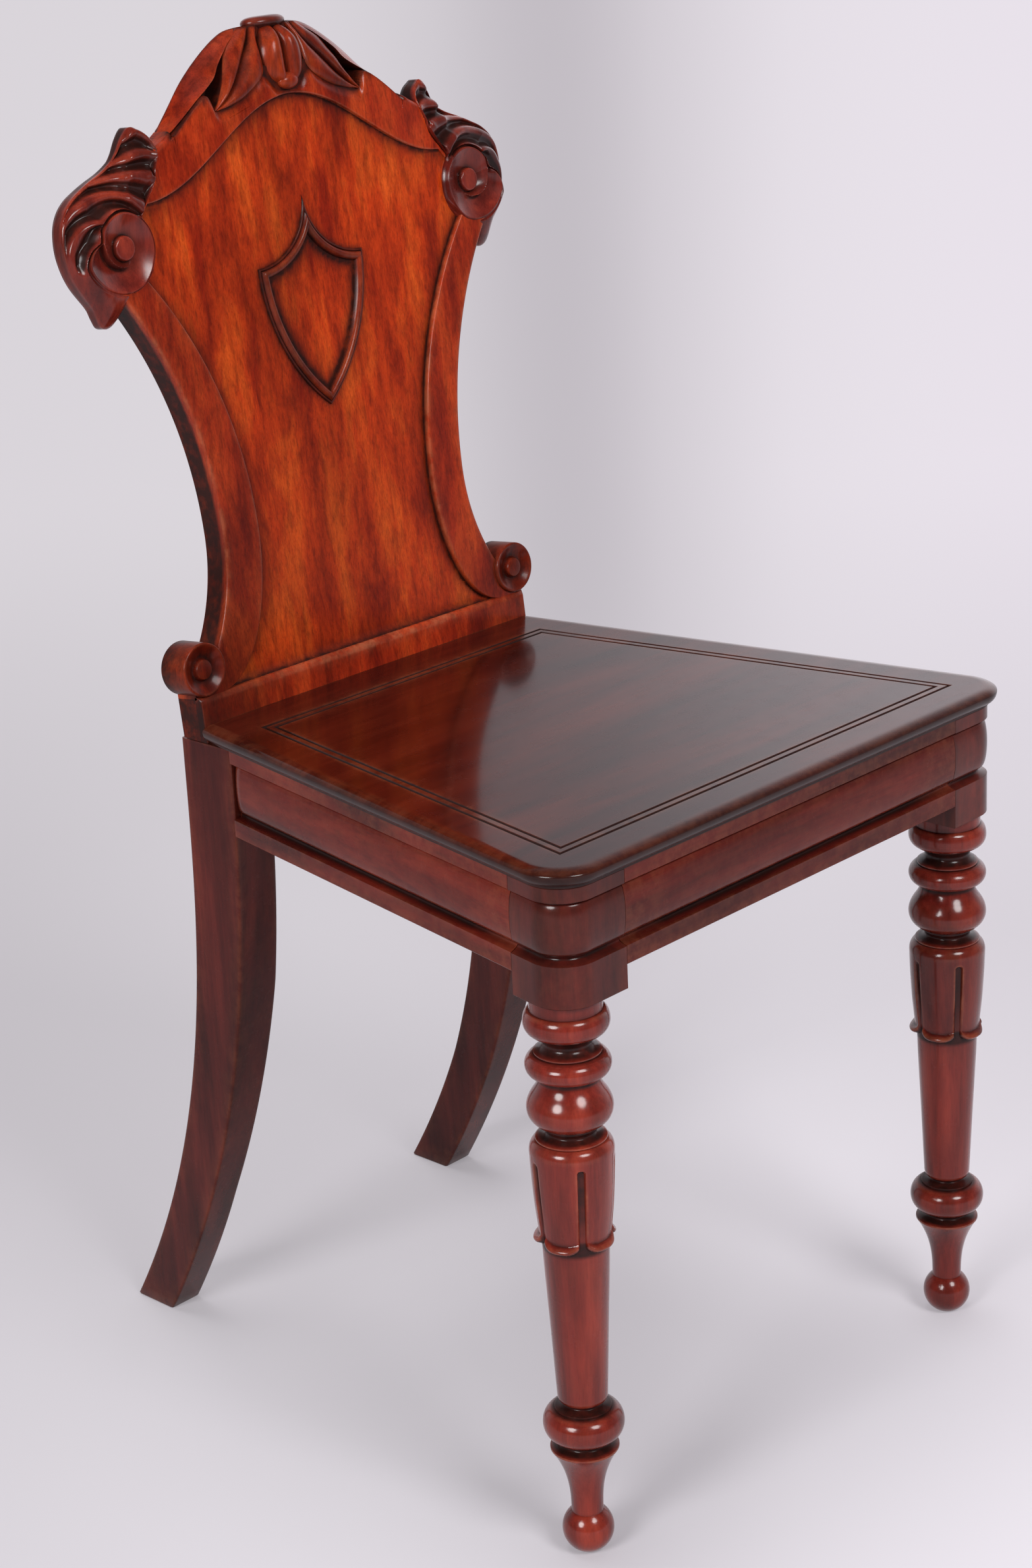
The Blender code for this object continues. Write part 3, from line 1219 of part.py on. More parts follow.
def crest_rail_top(across):
    if abs(across) < CREST_HALF_WIDTH:
        return crest_joint(across) + CREST_JOINT_RISE / 2
    if abs(across) < CREST_HALF_WIDTH * 1.16:
        return crest_outline(across)
    end = SCROLL_ACROSS - SCROLL_REACH * 0.4
    share = (abs(across) - CREST_HALF_WIDTH * 1.16) / (end - CREST_HALF_WIDTH * 1.16)
    return crest_outline(across) + (ARCH_LEVEL + CREST_JOINT_RISE - crest_outline(across)) * share


def add_crest_rail(material, back):
    """The border over the field, lofted across. Crest and scrolls are then cut out of it."""
    reach = SCROLL_ACROSS - SCROLL_REACH * 0.4
    rear = FIELD_DEPTH - CLEARANCE
    steps = 40
    rings = []
    for i in range(steps + 1):
        x = reach * (2 * i / steps - 1)
        front, low, high = crest_rail_depth(x), arch(x), crest_rail_top(x)
        rings.append([(x, front, low), (x, front, high), (x, rear, high), (x, rear, low)])
    rail = place("crest_rail", loft(rings), material, back, 40.0)
    combine(rail, crest_space(material, back), "DIFFERENCE")
    for side in (-1, 1):
        combine(rail, scroll_space(side, material, back), "DIFFERENCE")


def shield_line(inset):
    """The shield's outline moved inwards: two hollow curves to the tip, two round sides to the foot."""
    drop = SHIELD_TIP_LEVEL - SHIELD_SHOULDER_LEVEL

    def hollow(turn):
        """A place on the hollow curve, moved inwards, for a turn from the tip of nought to a quarter."""
        x = SHIELD_HALF_WIDTH * (1 - math.cos(turn))
        z = SHIELD_TIP_LEVEL - drop * math.sin(turn)
        normal = Vector((-drop * math.cos(turn), -SHIELD_HALF_WIDTH * math.sin(turn))).normalized()
        return x + normal.x * inset, z + normal.y * inset

    start, end = 0.0, math.pi / 2
    if inset:
        low, high = 0.0, math.pi / 2
        for _ in range(30):
            start = (low + high) / 2
            if hollow(start)[0] < 0:
                low = start
            else:
                high = start
        low, high = start, math.pi / 2
        for _ in range(30):
            end = (low + high) / 2
            if hollow(end)[0] < SHIELD_HALF_WIDTH - inset:
                low = end
            else:
                high = end
    right = [hollow(start + (end - start) * i / 6) for i in range(7)]
    right[0] = (0.0, right[0][1])
    radius = SHIELD_SIDE_RADIUS - inset
    centre = (SHIELD_HALF_WIDTH - SHIELD_SIDE_RADIUS, SHIELD_SHOULDER_LEVEL)
    first = -math.degrees(math.asin((SHIELD_SHOULDER_LEVEL - right[-1][1]) / radius))
    last = -math.degrees(math.acos(-centre[0] / radius))
    right += arc(centre, radius, first, last, 8)[1:]
    return right + [(-x, z) for x, z in reversed(right[1:-1])]


def add_shield(material, back):
    """A round moulding along the shield's outline, seated on the field."""
    seat = FIELD_DEPTH - CLEARANCE
    section = [(0.0, 0.0), (0.0, 0.45), (0.28, 1.0), (0.68, 1.0), (1.0, 0.45), (1.0, 0.0)]
    shape = bmesh.new()
    rows = []
    for across_share, height_share in section:
        ring = shield_line(SHIELD_MOULDING_WIDTH * across_share)
        rows.append([shape.verts.new((x, seat - SHIELD_MOULDING_HEIGHT * height_share, z)) for x, z in ring])
    for one, two in zip(rows, rows[1:] + rows[:1]):
        for i in range(len(one)):
            j = (i + 1) % len(one)
            shape.faces.new((one[i], one[j], two[j], two[i]))
    place("shield_moulding", shape, material, back, 50.0)


# Hidden fixings


def crest_dowel(side, room, material, back):
    """A dowel up the slope between board and crest block, or with room its hole."""
    middle = crest_joint(CREST_DOWEL_ACROSS)
    ring = arc((side * CREST_DOWEL_ACROSS, DOWEL_DEPTH), DOWEL_RADIUS + room, 0.0, 360.0, 10)[:-1]
    half = DOWEL_LENGTH / 2 + room
    shape = loft([[(x, y, z) for x, y in ring] for z in (middle - half, middle + half)])
    name = f"crest_hole_{side}" if room else f"{word_of(side)}_crest_dowel"
    return place(name, shape, material, back, 40.0)


def shoulder_dowel(side, room, material, back):
    """A level dowel between board and shoulder scroll, or with room its hole."""
    middle = SCROLL_ACROSS - SCROLL_REACH * smooth_table(SCROLL_OUTLINE_SHARES, 180.0)
    ring = arc((DOWEL_DEPTH, SCROLL_LEVEL), DOWEL_RADIUS + room, 0.0, 360.0, 10)[:-1]
    half = DOWEL_LENGTH / 2 + room
    shape = loft([[(side * x, y, z) for y, z in ring] for x in (middle - half, middle + half)])
    name = f"shoulder_hole_{side}" if room else f"{word_of(side)}_shoulder_dowel"
    return place(name, shape, material, back, 40.0)


def word_of(side):
    return "right" if side > 0 else "left"


def screw_shape(centre, radius_room, head_level):
    """A countersunk wood screw pointing up, or with room the hole for it."""
    head = SCREW_HEAD_RADIUS + radius_room
    shank = SCREW_RADIUS + radius_room
    top = head_level + SCREW_LENGTH + radius_room
    levels = [(head, head_level - radius_room), (head, head_level + radius_room)]
    levels += [(shank, head_level + SCREW_HEAD_RADIUS), (shank, top - 2 * SCREW_RADIUS), (shank / 3, top)]
    return loft([[(x, y, z) for x, y in arc(centre, radius, 0.0, 360.0, 10)[:-1]] for radius, z in levels])


def front_block_outline():
    """A glue block in the front corner, cut back round the inner corner of the leg block."""
    clear = BLOCK_LEG_CLEAR
    rail_y = RAIL_THICKNESS + CLEARANCE - SEAT_FRAME_DEPTH
    inner_x = BLOCK_INNER_X - clear
    rear_y = BLOCK_REAR_Y + clear

    def rail_x(y):
        return side_x(y, -RAIL_THICKNESS - CLEARANCE)

    return [
        (inner_x, rail_y),
        (inner_x, rear_y),
        (rail_x(rear_y), rear_y),
        (rail_x(rear_y + BLOCK_LEG_LENGTH), rear_y + BLOCK_LEG_LENGTH),
        (inner_x - BLOCK_LEG_LENGTH, rail_y),
    ]


def rear_block_outline():
    """A glue block in the rear corner, between the side rail, the leg and the back rail."""
    clear = CLEARANCE
    inner_x = REAR_LEG_OUTER - REAR_LEG_TOP_WIDTH - BLOCK_LEG_CLEAR
    front_y = REAR_LEG_TOP_FRONT - BLOCK_LEG_CLEAR
    back_y = BACK_RAIL_FRONT - clear

    def rail_x(y):
        return side_x(y, -RAIL_THICKNESS - clear)

    return [
        (inner_x, back_y),
        (inner_x, front_y),
        (rail_x(front_y), front_y),
        (rail_x(front_y - BLOCK_LEG_LENGTH), front_y - BLOCK_LEG_LENGTH),
        (inner_x - BLOCK_LEG_LENGTH, back_y),
    ]


def centre_of(points):
    return sum(p[0] for p in points) / len(points), sum(p[1] for p in points) / len(points)


def add_corner_blocks(block_material, steel, root, seat):
    top = FRAME_TOP - CLEARANCE
    head_level = FRAME_TOP + SCREW_BITE - SCREW_LENGTH
    for end, outline in (("front", front_block_outline()), ("rear", rear_block_outline())):
        hub = centre_of((outline[1], outline[1], outline[3], outline[4]))
        for side in (-1, 1):
            name = f"{end}_{word_of(side)}"
            ring = [(side * x, y) for x, y in outline]
            levels = (top - BLOCK_THICKNESS, top)
            shape = loft([[(x, y, z) for x, y in ring] for z in levels])
            block = place(f"{name}_corner_block", shape, block_material, root)
            centre = (side * hub[0], hub[1])
            place(f"{name}_seat_screw", screw_shape(centre, 0.0, head_level), steel, root, 40.0)
            hole = place(f"{name}_screw_hole", screw_shape(centre, CLEARANCE, head_level), steel, root)
            combine(block, hole, "DIFFERENCE")
            combine(seat, hole, "DIFFERENCE")


def main():
    clear_scene()
    polished = wood("polished mahogany", (0.16, 0.026, 0.012), 0.22)
    bright = wood("bright figured mahogany", (0.34, 0.055, 0.014), 0.22)
    plain = wood("unpolished secondary wood", (0.36, 0.22, 0.12), 0.7)
    steel = wood("steel", (0.35, 0.34, 0.33), 0.4)
    steel.node_tree.nodes["Principled BSDF"].inputs["Metallic"].default_value = 1.0

    front_y = -SEAT_FRAME_DEPTH - NOSE_OVERHANG
    rear_y = REAR_LEG_TOP_BACK + REAR_LEG_BACK_SWEEP
    root = empty("chair", (0.0, -(front_y + rear_y) / 2, 0.0))
    back = empty("raked_back", (0.0, 0.0, SEAT_HEIGHT), root, -math.radians(RAKE_DEG))

    seat = add_seat(polished, root)
    add_front_rail(polished, root)
    add_back_rail(plain, root, back)
    for side in (-1, 1):
        word = word_of(side)
        add_side_rail(side, word, polished, root)
        add_front_leg(side, word, polished, root)
        add_rear_leg(side, word, polished, root)
        add_stile(side, word, polished, back)
        add_scroll(side, word, polished, back)
        crest_dowel(side, 0.0, plain, back)
        shoulder_dowel(side, 0.0, plain, back)
    add_back_board(bright, back)
    add_bottom_rail(polished, back)
    add_crest_rail(polished, back)
    add_crest_carving(polished, back)
    add_crest_cap(polished, back)
    add_shield(polished, back)
    add_corner_blocks(plain, steel, root, seat)


main()
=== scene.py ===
"""Looks of a carved mahogany hall chair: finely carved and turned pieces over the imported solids.

Metres, +Z up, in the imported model's frame: the sitter faces -Y and the floor is at zero.
The seat frame is drawn from the foot of the back, FRAME_SHIFT behind the frame's origin.
The back is drawn in its own raked plane: x across, depth behind its face, level up the slope.
"""

import math

import bmesh
import bpy
import numpy as np
from mathutils import Matrix, Vector


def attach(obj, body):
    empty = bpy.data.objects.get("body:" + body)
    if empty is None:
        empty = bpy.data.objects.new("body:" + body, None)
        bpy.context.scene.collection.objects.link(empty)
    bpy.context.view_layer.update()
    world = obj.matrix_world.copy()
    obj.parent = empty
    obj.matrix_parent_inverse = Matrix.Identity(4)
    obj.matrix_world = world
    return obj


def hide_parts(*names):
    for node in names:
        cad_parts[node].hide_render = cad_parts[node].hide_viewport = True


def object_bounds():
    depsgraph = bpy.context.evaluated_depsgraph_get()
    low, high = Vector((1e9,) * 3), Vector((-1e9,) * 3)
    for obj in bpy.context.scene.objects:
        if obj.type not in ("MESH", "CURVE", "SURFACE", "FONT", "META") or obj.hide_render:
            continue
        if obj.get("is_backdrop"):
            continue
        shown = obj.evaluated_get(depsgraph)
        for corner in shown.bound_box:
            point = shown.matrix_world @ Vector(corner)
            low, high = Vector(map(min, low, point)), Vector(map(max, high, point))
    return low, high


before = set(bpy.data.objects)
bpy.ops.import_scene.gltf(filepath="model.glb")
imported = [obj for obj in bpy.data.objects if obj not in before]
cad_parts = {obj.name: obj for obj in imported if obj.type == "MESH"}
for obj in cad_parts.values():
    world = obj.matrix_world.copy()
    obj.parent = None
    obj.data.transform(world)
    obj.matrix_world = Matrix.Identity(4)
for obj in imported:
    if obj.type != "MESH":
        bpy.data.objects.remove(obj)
cad_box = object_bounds()

# Where the drawing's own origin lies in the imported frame
FRAME_SHIFT = 0.1182

# Wear, and dark polish with painted shade in hollows: smoothing passes, and the measure in metres that counts
# as full
ARRIS_PASSES = 5
HOLLOW_PASSES = 28
ARRIS_REACH = 0.00022
HOLLOW_REACH = 0.0009

# Stage
FLOOR_RADIUS = 14.0
FLOOR_CORNERS = 64
FLOOR_COLOURS = [(0.3, (0.53, 0.505, 0.54)), (0.7, (0.57, 0.545, 0.58))]
FLOOR_ACROSS = [(0.2, 0.73), (0.5, 0.99), (0.75, 1.03)]
# The backdrop's glow from left to right, as seen from BACKDROP_EYE off, and how it sets in behind the chair;
# the dip in its middle is a painted soft shadow of the chair's back
BACKDROP_EYE = 1.83
BACKDROP_ACROSS = [
    (0.2, (0.695, 0.66, 0.7)), (0.36, (0.72, 0.685, 0.725)), (0.47, (0.64, 0.605, 0.645)),
    (0.545, (0.5, 0.465, 0.505)), (0.61, (0.64, 0.6, 0.645)), (0.7, (0.8, 0.755, 0.81)),
    (0.85, (0.815, 0.76, 0.83)),
]
NEAR_GLOW = 0.35
GLOW_START, GLOW_END = 0.1, 2.4

# Lights: name, place, target, size, power, and whether the polish mirrors it
NEAR_LEG = (-0.18, -0.21, 0.29)
LIGHTS = (
    ("left_softbox", (-3.61, -0.51, 2.12), NEAR_LEG, 1.6, 130.0, True),
    ("right_softbox", (-0.51, -2.87, 2.7), NEAR_LEG, 1.4, 88.0, True),
    ("ceiling", (0.1, 0.4, 4.3), (0.0, 0.0, 0.3), 2.6, 112.0, False),
    ("front_wall", (-1.6, -4.6, 1.9), (0.0, 0.1, 0.6), 3.0, 34.0, False),
)
# The world's glow: towards the backdrop, from left to right of it, and upwards
WORLD_AHEAD = [(0.35, (0.07, 0.068, 0.072)), (0.6, (0.2, 0.19, 0.205)), (0.85, (0.72, 0.69, 0.73))]
WORLD_ACROSS = [(0.25, 0.72), (0.45, 0.4), (0.57, 0.42), (0.72, 0.85), (0.9, 1.0)]
WORLD_UP = [(0.36, 1.0), (0.55, 0.42), (0.8, 0.16)]
WORLD_STRENGTH = 1.75

# Camera
CAMERA_PLACE = (-1.3209, -1.2715, 1.0315)
CAMERA_YAW_DEG = 46.225
CAMERA_PITCH_DEG = -19.47
CAMERA_ROLL_DEG = -2.774
CAMERA_LENS_MM = 70.11
CAMERA_SENSOR_MM = 36.0

# Seat board
SEAT_HEIGHT = 0.44
SEAT_THICKNESS = 0.0113
SEAT_FRAME_DEPTH = 0.3522
SEAT_FRAME_BACK_WIDTH = 0.289
SPLAY = math.radians(10.5)
CORNER_RADIUS = 0.022
NOSE_OVERHANG = 0.006
NOSE_ROUND_WIDTH = 0.0088
NOSE_ROUND_HEIGHT = 0.0032
NOSE_FILLET_HEIGHT = 0.0018
NOSE_FILLET_PROUD = 0.0008
UNDERSIDE_INSET = 0.002
LINE_INSET = 0.029
LINE_BACK_INSET = 0.032
LINE_SPACING = 0.0058
LINE_WIDTH = 0.0024
LINE_DEPTH = 0.0014
LINE_BOTTOM_POWER = 0.8
LINE_CORNER_EASE = 0.003

# Moulding of the rails and leg blocks
FASCIA_HEIGHT = 0.009
QUIRK_HEIGHT = 0.0012
QUIRK_DEPTH = 0.003
FRIEZE_HEIGHT = 0.0303
CAVETTO_HEIGHT = 0.0056
CAVETTO_DEPTH = 0.0056
RAIL_BAND_HEIGHT = 0.0112
BLOCK_BAND_HEIGHT = 0.0254
RAIL_THICKNESS = 0.02
RAIL_RETURN_SHARE = 0.035
EDGE_EASE = 0.0004
EDGE_SUPPORT = 0.0016
GAP = 0.0003
SIDES = ((-1, "left"), (1, "right"))

# Front legs
LEG_INSET = 0.0242
LEG_SIDE_INSET = 0.0233
BLOCK_INNER_REACH = 0.0255
BLOCK_REAR_REACH = 0.0211
LAPPET_COUNT = 5
LAPPET_TOP = 0.2575
LAPPET_FOOT = 0.204
LAPPET_RISE = 0.0052
LAPPET_LIP_HEIGHT = 0.0062
LEG_GLOOM = 0.92
LEG_GLOOM_SLOPE = 0.75
LEG_GLOOM_DEPTH = 0.0018
SLOT_HALF_WIDTH = 0.0017
CUT_SLOPE = 0.001
# The turnings from the block down to the lappets, and from the shaft down to the floor. Each row has its
# kind, level at its foot, radius there, and for a bead, cove or ball its widest or narrowest radius
UPPER_TURNING = (
    ("line", 0.364, 0.0211),
    ("line", 0.3486, 0.0209),
    ("bead", 0.334, 0.0185, 0.0247),
    ("line", 0.3339, 0.0165),
    ("line", 0.3325, 0.0162),
    ("cove", 0.3236, 0.019, 0.0146),
    ("line", 0.3234, 0.0194),
    ("line", 0.3226, 0.0194),
    ("line", 0.3223, 0.0172),
    ("bead", 0.3083, 0.0183, 0.0247),
    ("line", 0.3076, 0.0172),
    ("bulb", 0.2773, 0.0158),
    ("line", 0.276, 0.0156),
    ("cove", 0.2706, 0.0202, 0.0148),
    ("line", 0.2704, 0.0206),
    ("line", 0.2697, 0.0207),
    ("line", 0.2694, 0.0192),
    ("shoulder", 0.262, 0.0244),
)
LOWER_TURNING = (
    ("heel", 0.1005, 0.0128),
    ("cove", 0.0968, 0.0163, 0.0115),
    ("line", 0.0966, 0.0168),
    ("line", 0.0954, 0.0168),
    ("bead", 0.0765, 0.0168, 0.024),
    ("line", 0.0757, 0.016),
    ("cove", 0.07, 0.0203, 0.0145),
    ("line", 0.069, 0.0204),
    ("stem", 0.0262, 0.0095),
    ("ball", 0.0, 0.0064, 0.0154),
)
BALL_CENTRE = 0.01405
BULB_RADII = (
    (0.2773, 0.0158), (0.2792, 0.0196), (0.2822, 0.0227), (0.2858, 0.0244), (0.2888, 0.0248),
    (0.2915, 0.0245), (0.2945, 0.0235), (0.2978, 0.0217), (0.301, 0.0195), (0.3042, 0.0179),
    (0.3076, 0.0172),
)
SLEEVE_RADII = ((0.204, 0.0206), (0.21, 0.0209), (0.23, 0.0228), (0.25, 0.024), (0.262, 0.0244))
SHAFT_RADII = ((0.105, 0.0149), (0.15, 0.017), (0.19, 0.019), (0.204, 0.0195), (0.262, 0.0224))
LIP_PROUD = 0.0036
LIP_TAPER = 0.8
# Rows of the lappets and of the shaft: highest level, lowest level and count
LAPPET_ROWS = (0.2612, 0.2, 84)
SHAFT_ROWS = (0.1985, 0.1062, 24)
BEAD_ROW_HEIGHT = 0.0009
COVE_POWER = 0.8
STEM_POWER = 2.6
UPPER_START = (0.0211, 0.365)
LOWER_START = (0.0149, 0.105)
BLOCK_GLOOM = 0.58

# Rear legs
REAR_LEG_OUTER = 0.1478
REAR_LEG_TOP_WIDTH = 0.0323
REAR_LEG_FOOT_WIDTH = 0.024
REAR_LEG_TOP_FRONT = -0.0214
REAR_LEG_TOP_BACK = 0.0235
REAR_LEG_FRONT_SWEEP = 0.1074
REAR_LEG_BACK_SWEEP = 0.0985
REAR_LEG_BEND_HEIGHT = 0.4
REAR_LEG_TAPER_START, REAR_LEG_TAPER_SPAN = 0.35, 0.4
FRONT_SWEEP_POWER = 2.3
BACK_SWEEP_POWER = 2.55
LEG_ARRIS = 0.0014

# Back
RAKE = math.radians(6.2)
BACK_HEIGHT = 0.415
BACK_THICKNESS = 0.0215
FIELD_DEPTH = 0.0055
STILE_DEPTH = 0.0013
CREST_RAIL_DEPTH = 0.0018
CREST_RAIL_FALL = 0.0022
BACK_FOOT_HALF_WIDTH = 0.1478
BOTTOM_RAIL_HEIGHT = 0.017
WAIST_LEVEL = 0.112
WAIST_HALF_WIDTH = 0.1075
SHOULDER_HALF_WIDTH = 0.1827
OUTER_LOWER_RADIUS = 0.13
STILE_WAIST_WIDTH = 0.029
STILE_TOP = 0.277
FIELD_SHOULDER_HALF_WIDTH = 0.1579
INNER_LOWER_WIDTH = 0.05
ARCH_LEVEL = 0.32
ARCH_RISE = 0.051
ARCH_HALF_WIDTH = 0.128
ARRIS = 0.001
STILE_EDGE = 1.6 * ARRIS
BOARD_INSET = 0.0008
BOARD_SHOULDER_INSET = 0.012
BOARD_SHOULDER_TAPER = 0.05
FIELD_COVE_HEIGHT = 0.006
FIELD_COVE_DEPTH = 0.0022
BOTTOM_ROLL_HEIGHT = 0.0045
BOTTOM_ROLL_FOOT = 0.0035
BOTTOM_ROLL_DEPTH = 0.003
BORDER_BEDDING = 0.0003

# How dark the old polish and the painted shade are, from nought to one
SIDE_GLOOM = 0.95
REAR_GLOOM = 0.35
# Painted shade over the whole left half of the back
LEFT_SIDE_GLOOM = 0.16
DRUM_GLOOM = 0.97
VOLUTE_FACE_GLOOM = 0.6
SHIELD_GLOOM = 0.52
CAP_GLOOM = 0.5
LEAF_GLOOM = 0.46
# Painted shade on the walls under the leaves' edges
LEAF_WALL_GLOOM = (0.97, 0.93)
FLUTE_GLOOM = 0.22
# Where the dark polish and painted shade fade away from what they gather against: its strength, and the reach
# of its fall in metres
BORDER_GLOOM = ((0.95, 0.0032), (0.3, 0.013))
SHIELD_INNER_GLOOM = (1.7, 0.0036)
SHIELD_OUTER_GLOOM = (0.9, 0.0018)
FIELD_FOOT_GLOOM = (0.14, 0.08)
VOLUTE_DISH_GLOOM = (0.35, 0.0022)
STILE_FOOT_GLOOM = (0.3, 0.03)
CORNER_GLOOM = (0.2, 0.08)
EYE_GLOOM = (0.9, 0.002)

# Lower volutes
VOLUTE_ACROSS = 0.1415
VOLUTE_LEVEL = 0.035
VOLUTE_RADIUS = 0.017
VOLUTE_PROUD = 0.0012
VOLUTE_EYE_RADIUS = 0.0066
VOLUTE_DISH_DEPTH = 0.004
VOLUTE_REAR_BEVEL = 0.0008
# Outwards over the eye and dish: share of the eye's radius, and of the dish's depth; then inset from the rim
VOLUTE_DISH_PROFILE = (
    (0.15, 0.1), (0.8, 0.1), (0.9, 0.16), (0.96, 0.34), (1.0, 0.6), (1.05, 0.86), (1.14, 1.0), (1.28, 1.0),
    (1.42, 0.93), (1.6, 0.8), (1.8, 0.62), (2.02, 0.38), (2.2, 0.2),
)
VOLUTE_RIM_PROFILE = ((0.0016, 0.06), (0.0009, 0.0), (0.0004, 0.04), (0.0001, 0.14), (0.0, 0.3))

# Shoulder scrolls
SCROLL_ACROSS = 0.149
SCROLL_LEVEL = 0.299
SCROLL_REACH = 0.04
SCROLL_EYE_RADIUS = 0.0076
SCROLL_EYE_PROUD = -0.0018
SCROLL_EYE_FALL = 0.002
SCROLL_DISH_DEPTH = 0.0052
SCROLL_RIM_PROUD = -0.0002
SCROLL_TRENCH_DEPTH = 0.0036
SCROLL_TRENCH_WIDTH = 0.0023
FLUTE_DEPTH = 0.005
SCROLL_STEP = 0.0006
SCROLL_ARRIS_EASE = 0.0012
# Degrees between which the rim that winds in grows to its full height
RIM_START, RIM_FULL = -122.0, -62.0
# How steeply the dish, the wound rim and the fan rise outwards
DISH_POWER, WOUND_POWER, RIM_POWER, FAN_POWER = 1.5, 1.3, 1.2, 1.7
SCROLL_REAR_BEVEL = 0.0008

# Crest
CREST_HALF_WIDTH = 0.097
CREST_FALL = 0.059
CREST_JOINT_RISE = 0.005
CREST_JOINT_LEVEL = 0.3505
LEAF_FALL = 0.05
LEAF_ROOT = 0.0209
LEAF_BACK = 0.0204
LEAF_BULGE = 0.0034
LEAF_LIP = 0.0012
LEAF_TIP_RISE = 0.005
OUTER_LEAF_SWELL = 0.0014
NECK_HOLLOW_DEPTH = 0.012
SCROLL_DIP = 0.0065
FOOT_DIP = 0.002
TIP_CUT = 0.0085
FULL_LEAF_WIDTH = 0.016
VEIN_CUT = 0.001
VEIN_WIDTH, VEIN_GLOOM_WIDTH = 0.13, 0.36
FULL_TIP_WIDTH = 0.008
FULL_BUD_SHARE = 0.15
BUD_GROOVE_WIDTH, BUD_EDGE_WIDTH = 0.13, 0.1
BUD_NECK_REACH = 0.0058
BUD_DEPTH = 0.0062
BUD_SWELL = 0.008
BUD_NECK_DEPTH = 0.012
CAP_HALF_WIDTH = 0.016
CAP_HALF_DEPTH = 0.0112
CAP_HEIGHT = 0.0044
CAP_CENTRE_DEPTH = 0.0185
CAP_SUNK = 0.0036
# Up the button's edge: share of its height, and inset
CAP_PROFILE = (
    (0.0, 0.003), (0.2, 0.0016), (0.36, 0.0005), (0.5, 0.0), (0.64, 0.0002), (0.76, 0.0009), (0.86, 0.0022),
    (0.93, 0.0038), (0.97, 0.0058), (0.99, 0.0076), (1.0, 0.0092),
)

# Where the crest rail ends against the scroll: across and level
SCROLL_TUCK = ((0.1163, 0.345), (0.1183, 0.335), (0.124, 0.3255), (0.1295, 0.3185), (0.131, 0.317))
EDGE_ROLL = 0.0035
# The scroll's inner edge, under which the rail dips: across and level
SCROLL_BACK_LINE = ((0.1183, 0.3343), (0.1162, 0.3409), (0.1123, 0.3495), (0.1141, 0.3595))

# Shield
SHIELD_HALF_WIDTH = 0.045
SHIELD_TIP_LEVEL = 0.3092
SHIELD_TIP_HEIGHT = 0.0412
SHIELD_SIDE_RADIUS = 0.1193
SHIELD_MOULDING_WIDTH = 0.0074
SHIELD_MOULDING_HEIGHT = 0.0038
# Across the moulding from outside: shares of its width and height
SHIELD_PROFILE = (
    (0.0, 0.0), (0.02, 0.36), (0.07, 0.44), (0.17, 0.44), (0.22, 0.3), (0.26, 0.42), (0.31, 0.66),
    (0.38, 0.86), (0.47, 0.97), (0.57, 1.0), (0.67, 0.97), (0.77, 0.86), (0.86, 0.66), (0.93, 0.4),
    (0.98, 0.14), (1.0, 0.0),
)

# The shoulder scroll in polar form about its eye: degrees outward and up, shares of SCROLL_REACH
SPIRAL_SHARES = (
    (-90, 0.702), (-60, 0.74), (-35, 0.768), (-19, 0.77), (-10, 0.71), (0, 0.605), (6, 0.51), (13, 0.43),
    (35, 0.462), (62, 0.47), (90, 0.485), (125, 0.49), (158, 0.51), (187, 0.535), (212, 0.565),
    (235, 0.625), (252, 0.675), (270, 0.702),
)
INNER_RIDGE_SHARES = ((-110, 0.235), (-90, 0.275), (-67, 0.3), (-27, 0.36), (0, 0.4), (13, 0.43), (30, 0.455))
SCROLL_OUTLINE_SHARES = (
    (-90, 0.77), (-84, 0.88), (-79.5, 1.13), (-75, 1.235), (-69, 1.245), (-64, 1.16), (-57, 1.045),
    (-46, 0.985), (-30, 0.965), (-13, 0.965), (2, 0.985), (13, 1.005), (25, 1.03), (37, 1.035), (48, 1.02),
    (62, 0.995), (78, 1.015), (91, 1.085), (101, 1.23), (105, 1.39), (107.5, 1.62), (110, 1.78),
    (114, 1.79), (119, 1.76), (122.5, 1.69), (126, 1.56), (128, 1.33), (131, 1.17), (134, 0.7),
    (140, 0.565), (158, 0.56), (187, 0.585), (212, 0.63), (235, 0.685), (252, 0.715), (262, 0.74),
    (270, 0.77),
)
SCROLL_EDGE_SHARES = (
    (-90, 0.45), (-79, 0.62), (-60, 0.56), (-30, 0.48), (0, 0.48), (40, 0.51), (62, 0.6), (90, 0.68),
    (101, 0.7), (107, 0.62), (110, 0.52), (114, 0.44), (119, 0.36), (122.5, 0.26), (127, 0.09), (134, 0.07),
    (140, 0.14), (160, 0.22), (270, 0.22),
)
# Painted shade on the scroll's outer wall by the way it faces: degrees, and darkness
SCROLL_WALL_GLOOM = (
    (-90, 0.6), (-60, 0.5), (0, 0.5), (40, 0.6), (70, 0.88), (134, 0.95), (262, 0.88), (270, 0.6),
)
FLUTE_RIDGE_SHARES = (
    ((-30, 0.96), (-8, 0.945), (0, 0.935), (12, 0.87), (28, 0.74), (44, 0.54), (60, 0.3)),
    (
        (-12, 1.08), (20, 1.03), (34, 0.985), (53, 0.89), (73, 0.81), (96, 0.735), (116, 0.665),
        (134, 0.62),
    ),
    (
        (-12, 1.2), (48, 1.09), (66, 1.02), (83, 0.985), (104, 1.03), (122, 1.12), (127, 1.16),
        (134, 1.2),
    ),
    (
        (-12, 1.3), (78, 1.15), (88, 1.11), (98, 1.18), (107, 1.29), (115, 1.4), (122, 1.5),
        (134, 1.6),
    ),
    ((-12, 1.4), (92, 1.25), (98, 1.3), (104, 1.48), (110, 1.69), (117, 1.85), (134, 2.2)),
)

